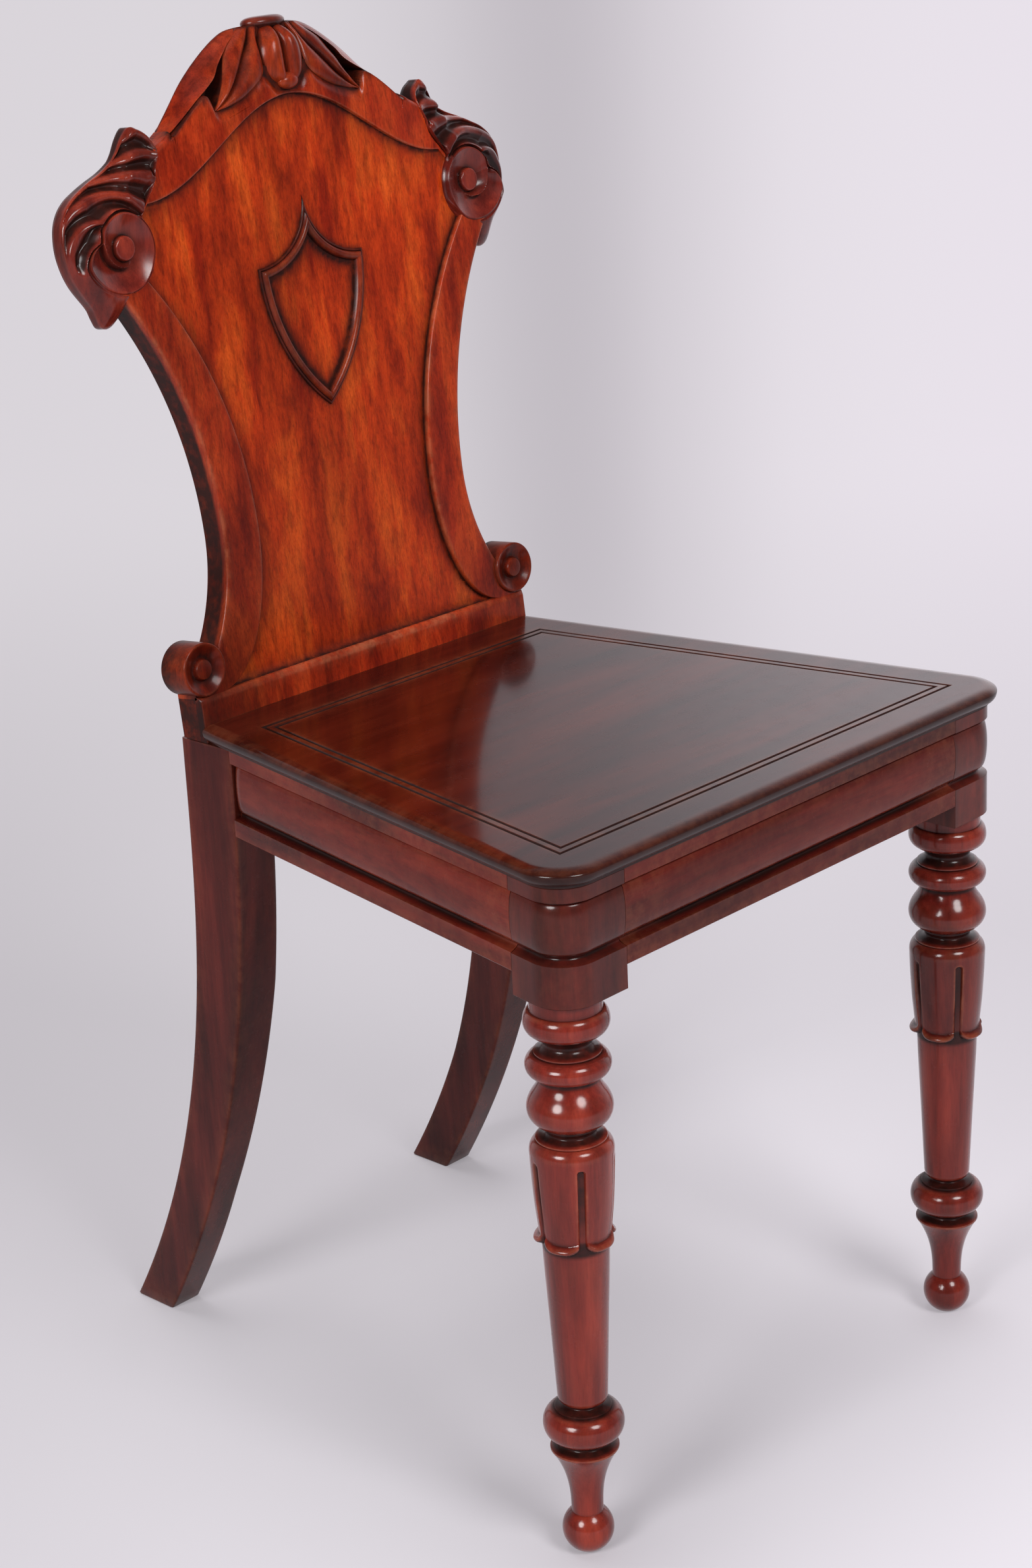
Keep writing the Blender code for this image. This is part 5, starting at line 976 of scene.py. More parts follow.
def inner_edge(level):
    waist = WAIST_HALF_WIDTH - STILE_WAIST_WIDTH
    rise = np.maximum(level - WAIST_LEVEL, 0.0)
    above = waist + INNER_UPPER_RADIUS - np.sqrt(np.maximum(INNER_UPPER_RADIUS**2 - rise**2, 0.0))
    share = np.clip((WAIST_LEVEL - level) / (WAIST_LEVEL - BOTTOM_RAIL_HEIGHT), 0.0, 1.0)
    below = waist + INNER_LOWER_WIDTH * (1 - np.sqrt(1 - share**2))
    return np.where(level > WAIST_LEVEL, above, below)


def arch(across):
    share = np.minimum(np.abs(across) / ARCH_HALF_WIDTH, 1.0)
    return ARCH_LEVEL + ARCH_RISE * (1 + np.cos(math.pi * share)) / 2


def crest_outline(across):
    return BACK_HEIGHT - CREST_FALL * smooth(CREST_OUTLINE_SHARES, np.abs(across) / CREST_HALF_WIDTH)


def crest_joint(across):
    return np.maximum(arch(across) + CREST_JOINT_RISE, CREST_JOINT_LEVEL)


def shield_line(inset, steps):
    """The shield's outline moved inwards: right half from tip to foot, then the left half."""
    drop, turn = SHIELD_TIP_HEIGHT, quarter_turn(399)
    x, z = SHIELD_HALF_WIDTH * (1 - np.cos(turn)), SHIELD_TIP_LEVEL - drop * np.sin(turn)
    normal = np.stack((-drop * np.cos(turn), -SHIELD_HALF_WIDTH * np.sin(turn)))
    normal /= np.linalg.norm(normal, axis=0)
    x, z = x + normal[0] * inset, z + normal[1] * inset
    inside = (x >= 0) & (x <= SHIELD_HALF_WIDTH - inset)
    x, z = x[inside], z[inside]
    radius = SHIELD_SIDE_RADIUS - inset
    centre_x, centre_z = SHIELD_HALF_WIDTH - SHIELD_SIDE_RADIUS, SHIELD_TIP_LEVEL - drop
    pick = np.linspace(0, len(x) - 1, steps).round().astype(int)
    first, last = -math.asin((centre_z - z[-1]) / radius), -math.acos(-centre_x / radius)
    sweep = np.linspace(first, last, steps + 1)[1:]
    x = np.concatenate(([0.0], x[pick][1:], centre_x + radius * np.cos(sweep)))
    z = np.concatenate(([z[0]], z[pick][1:], centre_z + radius * np.sin(sweep)))
    x[-1] = 0.0
    return mirrored(x, z)


def near_line(x, z, line_x, line_z):
    """Distance of each place from the nearest point of a line."""
    best = np.full(x.shape, np.inf)
    for a, b in zip(line_x, line_z):
        best = np.minimum(best, (x - a) ** 2 + (z - b) ** 2)
    return np.sqrt(best)


def board_half_width(level):
    """How far the board reaches to each side: under the scrolls it stops short of their edge."""
    shoulder = SHOULDER_HALF_WIDTH - BOARD_SHOULDER_INSET
    above = np.clip((level - SCROLL_LEVEL) / (SCROLL_REACH * 1.4), 0.0, 1.0)
    side = np.where(level > SCROLL_LEVEL, shoulder - BOARD_SHOULDER_TAPER * above, outer_edge(level))
    return np.where(level < VOLUTE_LEVEL, BACK_FOOT_HALF_WIDTH, np.minimum(side, shoulder))


def field_relief(level):
    """Depth of the board's face: the sunk field with its soft cove up to the bottom rail."""
    near = np.clip((level - BOTTOM_RAIL_HEIGHT) / FIELD_COVE_HEIGHT, 0.0, 1.0)
    hidden = level < BOTTOM_RAIL_HEIGHT - 0.0005
    return FIELD_DEPTH - np.where(hidden, 0.0, FIELD_COVE_DEPTH * (1 - near) ** 2)


def add_board(material):
    """The board's face is a fine sheet, so that its polish and painted shade can darken it towards its
    borders.
    """
    foot, top = foot_level(FIELD_DEPTH), ARCH_LEVEL + ARCH_RISE + CREST_JOINT_RISE
    levels = np.concatenate((
        [foot], BOTTOM_RAIL_HEIGHT + np.linspace(-0.001, 0.01, 12),
        np.linspace(BOTTOM_RAIL_HEIGHT + 0.012, VOLUTE_LEVEL, 8), np.linspace(VOLUTE_LEVEL + 0.002, top, 150),
    ))
    tuck_x, tuck_level = np.array(SCROLL_TUCK)[::-1].T
    tuck = np.interp(levels, tuck_level, tuck_x, left=1.0) - BOARD_INSET
    half = np.minimum(board_half_width(levels), tuck)
    half = np.where(levels > CREST_JOINT_LEVEL, CREST_HALF_WIDTH, half)
    half = half - np.where(levels > VOLUTE_LEVEL, BOARD_INSET, 0.0)
    x = np.linspace(-1.0, 1.0, 161) * half[:, None]
    level = np.broadcast_to(levels[:, None], x.shape)
    level = np.where(level > CREST_JOINT_LEVEL, np.minimum(level, crest_joint(x)), level)
    face = back_point(x, field_relief(level), level)
    rear = back_point(x, BACK_THICKNESS, level + (foot_level(BACK_THICKNESS) - foot) * (level < 0))
    rings = np.concatenate((face, rear[:, ::-1]), axis=1)
    make("fine_back_board", [loft(rings)], material, 40, "back_board", gloom=field_gloom)


def field_gloom(points):
    """Dark polish left along the borders of the field and round the shield, with painted shade there, and
    darker towards its foot.
    """
    x, depth, level = raked(points)
    beside, above = inner_edge(level) - np.abs(x), (arch(x) - level) * 0.85
    border = np.maximum(np.minimum(np.minimum(beside, above), level - BOTTOM_RAIL_HEIGHT), 0.0)
    shade = sum(faded(border, *gloom) for gloom in BORDER_GLOOM)
    middle = SHIELD_MOULDING_WIDTH / 2
    ring = near_line(x, level, *shield_line(middle, 60))
    within = ring > near_line(x, level, *shield_line(middle + 0.004, 60))
    ring = np.maximum(ring - middle, 0.0)
    ring_shade = np.where(within, faded(ring, *SHIELD_INNER_GLOOM), faded(ring, *SHIELD_OUTER_GLOOM))
    shade = np.maximum(shade, ring_shade) + faded(level, *FIELD_FOOT_GLOOM)
    end = (np.abs(x) > BACK_FOOT_HALF_WIDTH - 0.0015) & (level < BOTTOM_RAIL_HEIGHT - 0.001)
    front = depth < BACK_THICKNESS / 2
    return np.where(end, 0.92, np.where(front, np.clip(shade, 0.0, 1.0), REAR_GLOOM))


def eased(front, rear, width):
    """A border's edge as (inset, depth) pairs from its wall up to its face."""
    pairs = [(width * (1 - math.cos(turn)), front + width * (1 - math.sin(turn))) for turn in quarter_turn(4)]
    return [(0.0, rear)] + pairs


def add_bottom_rail(material):
    """The strip across the foot of the back, whose upper edge rolls over into the field."""
    roll_foot, reach, end_bevel = BOTTOM_RAIL_HEIGHT - BOTTOM_ROLL_FOOT, BACK_FOOT_HALF_WIDTH, 0.0006
    rows = [(foot_level(0.0), 0.0), (roll_foot, 0.0)]
    for turn in np.linspace(0.2, math.pi / 2, 6):
        depth = BOTTOM_ROLL_DEPTH * (1 - math.cos(turn))
        rows.append((roll_foot + BOTTOM_ROLL_HEIGHT * math.sin(turn), depth))
    rows += [(BOTTOM_RAIL_HEIGHT + 0.001, FIELD_DEPTH), (foot_level(FIELD_DEPTH), FIELD_DEPTH)]
    levels, depths = support(np.array(rows), near=0.0008, far=0.004).T
    rings = []
    for x in (-reach, -reach + 0.0008, *np.linspace(-0.14, 0.14, 9), reach - 0.0008, reach):
        bevel = end_bevel * (depths < 0.001) if abs(x) == reach else 0.0
        rings.append(back_point(x, depths + bevel, levels))
    make("fine_bottom_rail", [loft(rings)], material, 35, "back_bottom_rail", gloom=side_gloom)


def side_gloom(points):
    """Dark unworn polish and painted shade on the back's sides and rear, in the volutes and at the foot of
    the stiles, and painted shade over the left half.
    """
    x, depth, level = raked(points)
    far = np.abs(x)
    side = (depth > 0.0045) | ((level < BOTTOM_RAIL_HEIGHT) & (far > BACK_FOOT_HALF_WIDTH - 0.0002))
    from_eye = np.hypot(far - VOLUTE_ACROSS, level - VOLUTE_LEVEL)
    drum = from_eye < VOLUTE_RADIUS + 0.0005
    # Painted shade in the volute's dish round its eye
    dish = faded(np.abs(from_eye - VOLUTE_EYE_RADIUS * 1.25), *VOLUTE_DISH_GLOOM)
    front = np.where(drum & (depth < 0.0045), VOLUTE_FACE_GLOOM + dish * (from_eye > VOLUTE_EYE_RADIUS), 0.0)
    # Painted shade at the foot of the stiles and low beside the volutes
    low = faded(np.maximum(level - VOLUTE_LEVEL, 0.0), *STILE_FOOT_GLOOM) * (far > 0.09)
    # Painted shade over the whole left half of the back
    low = low + LEFT_SIDE_GLOOM * (x < 0)
    low = low + np.exp(-((far - 0.13) / 0.03) ** 2) * faded(level, *CORNER_GLOOM)
    return np.where(side, np.where(drum, DRUM_GLOOM, SIDE_GLOOM), np.maximum(front, low))


def volute_body(side):
    """The lower volute: a flat eye in a ringed dish, its rim fading where the stile runs into it."""
    rows = [(VOLUTE_EYE_RADIUS * share, sunk) for share, sunk in VOLUTE_DISH_PROFILE]
    rows += [(VOLUTE_RADIUS - inset, sunk) for inset, sunk in VOLUTE_RIM_PROFILE]
    rows = [(radius, VOLUTE_DISH_DEPTH * sunk - VOLUTE_PROUD) for radius, sunk in rows]
    rows.append((VOLUTE_RADIUS, BACK_THICKNESS - VOLUTE_REAR_BEVEL))
    rows.append((VOLUTE_RADIUS - VOLUTE_REAR_BEVEL, BACK_THICKNESS))
    turns = full_turn(96)
    centre = (side, VOLUTE_ACROSS, VOLUTE_LEVEL)
    return loft([back_disc(*centre, radius, depth, turns) for radius, depth in rows])


def stile_outer(level):
    """The stile's outer edge, which stops at the rims of volute and scroll so as not to fill their dishes."""
    rise = np.minimum(np.abs(level - VOLUTE_LEVEL), VOLUTE_RADIUS)
    rim = VOLUTE_ACROSS - np.sqrt(VOLUTE_RADIUS**2 - rise**2) + 0.0008
    turns = np.radians(np.linspace(262.0, 180.0, 42))
    radius = smooth(SPIRAL_SHARES, np.degrees(turns)) * SCROLL_REACH
    disc_level = SCROLL_LEVEL + radius * np.sin(turns)
    disc = np.interp(level, disc_level, SCROLL_ACROSS + radius * np.cos(turns)) + 0.003
    edge = np.where(level > disc_level[0], np.minimum(outer_edge(level), disc), outer_edge(level))
    return np.where(level < VOLUTE_LEVEL, rim, np.where(rise < VOLUTE_RADIUS, np.minimum(edge, rim), edge))


def add_stiles(material):
    """Raised borders with a full-depth edge, each from its volute up under the shoulder scroll."""
    foot = BOTTOM_RAIL_HEIGHT - 0.0015
    levels = foot + (VOLUTE_LEVEL + VOLUTE_RADIUS - foot) * np.linspace(0.0, 1.0, 60) ** 1.5
    levels = np.concatenate((levels, np.linspace(levels[-1], STILE_TOP, 140)[1:]))
    inner = inner_edge(np.maximum(levels, BOTTOM_RAIL_HEIGHT))
    outer = np.maximum(stile_outer(levels), inner + 0.004)
    rear = BACK_THICKNESS - 0.001
    near_edge = eased(STILE_DEPTH, FIELD_DEPTH + BORDER_BEDDING, ARRIS)
    far_edge = eased(STILE_DEPTH, rear, STILE_EDGE)[:0:-1]
    for side, word in SIDES:
        rings = []
        for level, near, far in zip(levels, inner, outer):
            rows = [(near + inset, depth) for inset, depth in near_edge]
            start, end = near + ARRIS, far - STILE_EDGE
            rows += [(start + (end - start) * share, STILE_DEPTH) for share in (0.06, 0.2, 0.5, 0.8, 0.94)]
            rows += [(far - inset, depth) for inset, depth in far_edge]
            rows += [(far, depth) for depth in (0.0042, 0.007, 0.014, 0.0195, rear)]
            x, depth = np.array(rows + [(far - 0.001, BACK_THICKNESS)]).T
            rings.append(back_point(side * x, depth, level))
        bodies = [loft(rings), volute_body(side)]
        make(f"fine_{word}_stile", bodies, material, 40, f"{word}_back_stile", gloom=side_gloom)


def crest_rail_depth(across):
    share = np.minimum(np.abs(across) / (CREST_HALF_WIDTH * 1.16), 1.0)
    return CREST_RAIL_DEPTH + CREST_RAIL_FALL * share**3


def add_crest_rail(material):
    """The border over the field, whose upper edge runs under the crest and up against the scrolls."""
    tuck_x, tuck_level = np.array(SCROLL_TUCK).T
    bedded = FIELD_DEPTH + BORDER_BEDDING
    rings = []
    for x in np.linspace(-tuck_x[-1], tuck_x[-1], 301):
        inside = abs(x) < CREST_HALF_WIDTH
        top = float(crest_joint(x) if inside else crest_outline(x))
        if abs(x) > tuck_x[0]:
            top = min(top, float(np.interp(abs(x), tuck_x, tuck_level)))
        low = min(float(arch(x)), top - 0.003)
        rear = bedded if inside else BACK_THICKNESS
        ease = 0.0001 if inside else min(EDGE_ROLL, (top - low) / 3)
        bevel = min(ARRIS, (top - low) / 4)
        start, end = low + bevel, top - ease
        levels = np.concatenate(([low], start + (end - start) * np.linspace(0.03, 0.97, 34), [end]))
        depths = crest_ground(np.full_like(levels, x), levels)
        rows = [(low + inset, depth) for inset, depth in eased(depths[0], bedded, bevel)]
        rows += list(zip(levels[1:-1], depths[1:-1]))
        rows += [(top - inset, depth) for inset, depth in eased(depths[-1], rear, ease)[::-1]]
        level, depth = np.array(rows + [(low + (top - low) * 0.3, rear)]).T
        rings.append(back_point(x, depth, level))
    bodies = [loft(rings)]
    make("fine_crest_rail", bodies, material, 40, "crest_rail", gloom=crest_gloom, seams=crest_seams)


def crest_seams(points):
    """Nought along the hidden joint between the crest rail and the crest."""
    x, depth, level = raked(points)
    from_joint = np.abs(level - crest_joint(x)) + (np.abs(x) > CREST_HALF_WIDTH + 0.002)
    from_end = np.abs(np.abs(x) - CREST_HALF_WIDTH) + (level < crest_joint(x) - 0.001)
    near = np.clip((np.minimum(from_joint, from_end) - 0.0014) / 0.001, 0.0, 1.0)
    near = np.where(np.abs(depth - crest_ground(x, level)) < 0.0009, near, 1.0)
    return near * np.where(level > crest_outline(x) - 0.006, 0.2, 1.0)


def add_shield(material):
    """A round moulding between a low fillet outside and a quirk inside."""
    rings = np.array([
        back_point(x, FIELD_DEPTH + 0.0002 - SHIELD_MOULDING_HEIGHT * height, z)
        for share, height in SHIELD_PROFILE
        for x, z in [shield_line(SHIELD_MOULDING_WIDTH * share, 50)]
    ])
    make("fine_shield", [loft(rings, hoop=True)], material, 50, "shield_moulding", gloom=shield_gloom)


def shield_gloom(points):
    # Painted shade where the moulding sinks to the field, over dark polish
    sunk = np.clip((raked(points)[1] - FIELD_DEPTH + 0.0022) / 0.0012, 0.0, 1.0)
    return SHIELD_GLOOM + 0.45 * sunk


# Crest


def crest_line(rows, far):
    """The level of a line that is given in shares of the crest's width and of LEAF_FALL."""
    return BACK_HEIGHT - LEAF_FALL * smooth(rows, far)


def crest_ground(x, level):
    """Depth of the wood behind the leaves: the rail's face, a groove along its end and the necks' hollow."""
    far = np.abs(x) / CREST_HALF_WIDTH
    over_foot, over_hem = (level - crest_line(rows, far) for rows in (LEAF_FOOT_SHARES, LEAF_HEM_SHARES))
    face = crest_rail_depth(x) + FOOT_DIP * step(-0.007, 0.001, over_foot) * (1 - step(0.64, 0.76, far))
    face = face + TIP_CUT * step(-0.0004, 0.004, over_foot) * step(0.64, 0.74, far)
    hollow = NECK_HOLLOW_DEPTH + (LEAF_ROOT - NECK_HOLLOW_DEPTH) * step(0.12, 0.3, far)
    sunk = step(-0.0006, 0.0034, over_hem) * (1 - 0.32 * step(0.96, 1.1, far))
    under_x, under_level = np.array(SCROLL_BACK_LINE).T
    tucked = step(0.0002, 0.0016, np.abs(x) - np.interp(level, under_level, under_x, left=1.0))
    return face + np.maximum(hollow - face, 0.0) * sunk + SCROLL_DIP * tucked * (face < 0.01)


def leaf_body(side, rows):
    """A body from rows of points, with a wall in painted shade from either edge to its root, and its
    darkness.
    """
    rings, darkness = [], []
    for x, depth, level, dark in rows:
        low = np.minimum(depth[[0, -1]] + LEAF_LIP, LEAF_ROOT)
        depth = np.concatenate(([LEAF_ROOT, low[0]], depth, [low[1], LEAF_ROOT]))
        rings.append(back_point(side * np.pad(x, 2, "edge"), depth, np.pad(level, 2, "edge")))
        darkness.append(np.concatenate((LEAF_WALL_GLOOM, dark, LEAF_WALL_GLOOM[::-1])))
    return loft(rings), np.concatenate(darkness)


def lengthwise(rows, count, keys=None):
    """The columns of an outline's rows, each read smoothly at that many places along it."""
    keys = np.linspace(0.0, 1.0, len(rows)) if keys is None else keys
    shares = np.linspace(0.0, 1.0, count)
    return [smooth(tuple(zip(keys, column)), shares) for column in zip(*rows)]


def inner_leaf():
    """The inner leaf's rows: two swelling halves and a deep vein."""
    keys, *depths = zip(*INNER_LEAF_DEPTHS)
    columns = lengthwise(INNER_LEAF_SHARES, 80) + lengthwise(tuple(zip(*depths)), 80, keys)
    across = np.concatenate((np.linspace(0.0, 1.0, 17), np.linspace(1.0, 2.0, 17)[1:]))
    lobe = np.abs(across - 1.0)
    swell = np.sin(math.pi * lobe**0.85) ** 0.75
    for share, *row in zip(np.linspace(0.0, 1.0, 80), *columns):
        near_x, near_fall, vein_x, vein_fall, far_x, far_fall, *deep = row
        x = CREST_HALF_WIDTH * np.interp(across, (0, 1, 2), (near_x, vein_x, far_x))
        level = BACK_HEIGHT - LEAF_FALL * np.interp(across, (0, 1, 2), (near_fall, vein_fall, far_fall))
        width = CREST_HALF_WIDTH * math.hypot(far_x - near_x, (far_fall - near_fall) / 2)
        size = min(width / FULL_LEAF_WIDTH, 1.0)
        depth = np.interp(across, (0, 1, 2), deep) - LEAF_BULGE * size * swell
        depth = depth + VEIN_CUT * size * np.exp(-((lobe / VEIN_WIDTH) ** 2))
        # Painted shade in the vein, and at the neck under the cap
        vein = 0.92 * np.exp(-((lobe / VEIN_GLOOM_WIDTH) ** 2)) * (1 - 0.4 * share**2)
        yield x, depth, level, np.maximum(vein, max(LEAF_GLOOM, 0.85 * math.exp(-share / 0.07)))


def outer_leaf():
    """The outer leaf's rows, which turn back round the crest's edge."""
    across = np.linspace(0.0, 1.0, 26)
    columns = lengthwise(OUTER_LEAF_SHARES, 90)
    for share, out_x, near_x, near_fall, near_depth in zip(np.linspace(0.0, 1.0, 90), *columns):
        near_level = BACK_HEIGHT - LEAF_FALL * near_fall
        x = CREST_HALF_WIDTH * (near_x + (out_x - near_x) * across)
        level = near_level + (float(crest_outline(CREST_HALF_WIDTH * out_x)) - near_level) * across
        width = math.hypot(x[-1] - x[0], level[-1] - level[0])
        swell = OUTER_LEAF_SWELL * min(width / FULL_TIP_WIDTH, 1.0)
        back = LEAF_BACK - LEAF_TIP_RISE * float(step(0.7, 0.92, share))
        depth = near_depth + (back - near_depth) * across**0.9 - swell * np.sin(math.pi * across)
        # Painted shade at the neck under the cap, and along the band that turns back round the crest's edge
        plain = max(0.85 * math.exp(-share / 0.06), 0.42 + 0.12 * float(step(0.7, 0.95, share)))
        yield x, depth, level, np.maximum(0.8 * step(0.72, 0.98, across) * (1 - share), plain)


def bud_lobes():
    """The rows of the bud: two glossy lobes with a deep groove between them."""
    across = np.linspace(-1.0, 1.0, 49)
    lobe = np.sin(math.pi * np.abs(across) ** 0.85) ** 0.7
    groove = np.exp(-((across / BUD_GROOVE_WIDTH) ** 2))
    groove = groove + np.exp(-(((1 - np.abs(across)) / BUD_EDGE_WIDTH) ** 2))
    for drop, share in zip(*lengthwise(BUD_SHARES, 70)):
        size = min(share / FULL_BUD_SHARE, 1.0)
        neck = BUD_NECK_DEPTH * math.exp(-LEAF_FALL * drop / BUD_NECK_REACH)
        depth = BUD_DEPTH - BUD_SWELL * size**0.6 * lobe + neck
        # Painted shade in the groove between the lobes, along their edges and towards the neck
        dark = np.maximum(np.minimum(0.95 * groove, 0.95), 0.45 + 0.4 * math.exp(-drop / 0.1))
        yield across * share * CREST_HALF_WIDTH, depth, np.full(49, BACK_HEIGHT - LEAF_FALL * drop), dark


def bud_bead():
    """The small bead at the bud's tip, with the darkness of its polish."""
    turns = full_turn(48)
    wide, high, deep = BUD_TIP_RADII
    centre = BACK_HEIGHT - BUD_TIP_FALL
    rings = np.array([
        back_point(
            wide * math.cos(tilt) * np.cos(turns), BUD_TIP_DEPTH + deep * math.sin(tilt),
            centre + high * math.cos(tilt) * np.sin(turns)
        )
        for tilt in np.linspace(-1.45, 1.45, 25)
    ])
    return loft(rings), np.full(rings.shape[0] * rings.shape[1], 0.4)


def add_crest(material):
    """The crest's wood, two leaves on each side, and the bud between them."""
    across = np.linspace(-1.0, 1.0, 361) * CREST_HALF_WIDTH
    low, high = crest_joint(across), crest_outline(across)
    level = low + (high - low) * np.linspace(0.0, 1.0, 110)[:, None]
    x = np.broadcast_to(across, level.shape)
    face, rear = back_point(x, crest_ground(x, level), level), back_point(x, BACK_THICKNESS, level)
    ground = loft(np.concatenate((face, rear[:, ::-1]), axis=1))
    parts = [(ground, crest_gloom(ground[0]))]
    parts += [leaf_body(side, leaf()) for side in (-1, 1) for leaf in (inner_leaf, outer_leaf)]
    bodies, darkness = zip(*parts, leaf_body(1, bud_lobes()), bud_bead())
    gloom = np.concatenate(darkness)
    make("fine_crest", bodies, material, 48, "crest_carving", gloom=gloom, seams=crest_seams)


def crest_gloom(points):
    """Painted near-black shade between the leaves, and a painted soft shadow on the rail below them."""
    x, depth, level = raked(points)
    far = np.abs(x) / CREST_HALF_WIDTH
    below = np.maximum(crest_line(LEAF_FOOT_SHARES, far) - level, 0.0)
    under = faded(below, 0.94, np.where(far > 0.74, 0.0012, 0.0036))
    return np.where(depth < LEAF_ROOT + 0.0002, under * (1 - step(1.02, 1.1, far)), REAR_GLOOM)


def add_cap(material):
    """The oval button, set a little into the crest so that the necks of the leaves lap its edge."""
    turns = full_turn(96)
    foot, top = BACK_HEIGHT - CAP_SUNK, BACK_HEIGHT + GAP + CAP_HEIGHT
    rings = []
    for share, inset in CAP_PROFILE:
        depth = CAP_CENTRE_DEPTH + (CAP_HALF_DEPTH - inset) * np.sin(turns)
        rings.append(back_point((CAP_HALF_WIDTH - inset) * np.cos(turns), depth, foot + (top - foot) * share))
    make("fine_crest_cap", [loft(rings)], material, 50, "crest_cap", gloom=cap_gloom)


def cap_gloom(points):
    # Painted shade on the button's foot where it sits into the crest, over dark polish
    return CAP_GLOOM + 0.45 * np.clip((BACK_HEIGHT + 0.001 - raked(points)[2]) / 0.002, 0.0, 1.0)


# Shoulder scrolls


def scroll_relief(degrees, radius, spiral):
    """Depth and painted shade inside the spiral at one angle: eye, dish, and the rim that winds in below."""
    turn = degrees - 360.0 if degrees > 180.0 else degrees
    eye, rise, lift = SCROLL_EYE_RADIUS, SCROLL_DISH_DEPTH, SCROLL_STEP
    floor = rise - SCROLL_RIM_PROUD
    share = np.clip((radius - eye) / (spiral - eye), 0.0, 1.0)
    plain = floor - rise * share**DISH_POWER
    # Painted shade round the eye, fading out over the dish
    dark = faded(np.maximum(radius - eye, 0.0), *EYE_GLOOM) + 0.2 * (1 - share)
    if turn < INNER_RIDGE_SHARES[-2][0]:
        ridge = float(smooth(INNER_RIDGE_SHARES, max(turn, RIM_START - 3.0))) * SCROLL_REACH
        strength = float(step(RIM_START, RIM_FULL, turn))
        within = floor - rise * np.clip((radius - eye) / (ridge - eye), 0.0, 1.0) ** WOUND_POWER
        beyond = np.clip((radius - ridge) / max(spiral - ridge, 1e-5), 0.0, 1.0)
        outer = floor + lift - (rise + lift) * beyond**RIM_POWER
        wound = within + (outer - within) * step(0.0, 2 * lift, radius - ridge)
        plain = plain + (wound - plain) * strength
        # Painted shade in the groove outside the wound rim
        dark = dark + strength * 0.8 * np.exp(-(((radius - ridge - 0.0016) / 0.0014) ** 2))
    wall = step(eye - 0.0005, eye + 0.0004, radius)
    inside = -SCROLL_EYE_PROUD + (plain + SCROLL_EYE_PROUD) * wall
    inside = inside + 0.0004 * step(eye - 0.0013, eye - 0.0002, radius) * (1 - wall)
    return inside + lift * step(spiral - 0.0008, spiral + 0.0002, radius), dark * wall


def fluted_relief(degrees, radius, spiral, outline):
    """Depth and painted shade outside the spiral at one angle: a trench, then rolls between narrow grooves.
    """
    edge = BACK_THICKNESS * float(smooth(SCROLL_EDGE_SHARES, degrees))
    across = np.clip((radius - spiral) / (outline - spiral), 0.0, 1.0)
    base = -SCROLL_RIM_PROUD + (edge + SCROLL_RIM_PROUD) * across**FAN_POWER
    ridges = [spiral]
    for rows in FLUTE_RIDGE_SHARES:
        ridges.append(min(max(float(smooth(rows, degrees)) * SCROLL_REACH, ridges[-1]), outline))
    width = max(min(SCROLL_TRENCH_WIDTH, (outline - spiral) * 0.4), 1e-5)
    trench = np.clip((radius - spiral) / width, 0.0, 1.0)
    fade = float((1 - step(128.0, 136.0, degrees)) * (0.3 + 0.7 * step(-50.0, 5.0, degrees)))
    groove = np.where(radius < spiral + width, np.sin(math.pi * trench**0.6) ** 0.8, 0.0)
    cut = SCROLL_TRENCH_DEPTH * fade * groove
    live = float(step(-26.0, -10.0, degrees))
    for one, two in zip(ridges, ridges[1:]):
        gap = two - one
        if gap > 1e-5:
            room = FLUTE_DEPTH * min(gap / (FLUTE_DEPTH * 1.5), 1.0) * live
            offset = np.clip(np.abs(2 * radius - one - two) / gap, 0.0, 1.0)
            cut = np.maximum(cut, room * (0.5 + 0.5 * np.cos(math.pi * offset)) ** 1.3)
    # Painted shade in the trench and the grooves over a floor of dark polish, and over the first flute near
    # the top
    dark = np.maximum(np.clip((cut - 0.0006) / 0.0022, 0.0, 1.0) * 0.97, FLUTE_GLOOM)
    first_flute = (radius > spiral) & (radius < ridges[1] * 0.97)
    dark = np.maximum(dark, 0.85 * float(step(76.0, 98.0, degrees)) * first_flute)
    arris = faded(outline - radius, 1.0, SCROLL_ARRIS_EASE)
    return base + cut + SCROLL_ARRIS_EASE * arris**2, dark * (1 - arris)


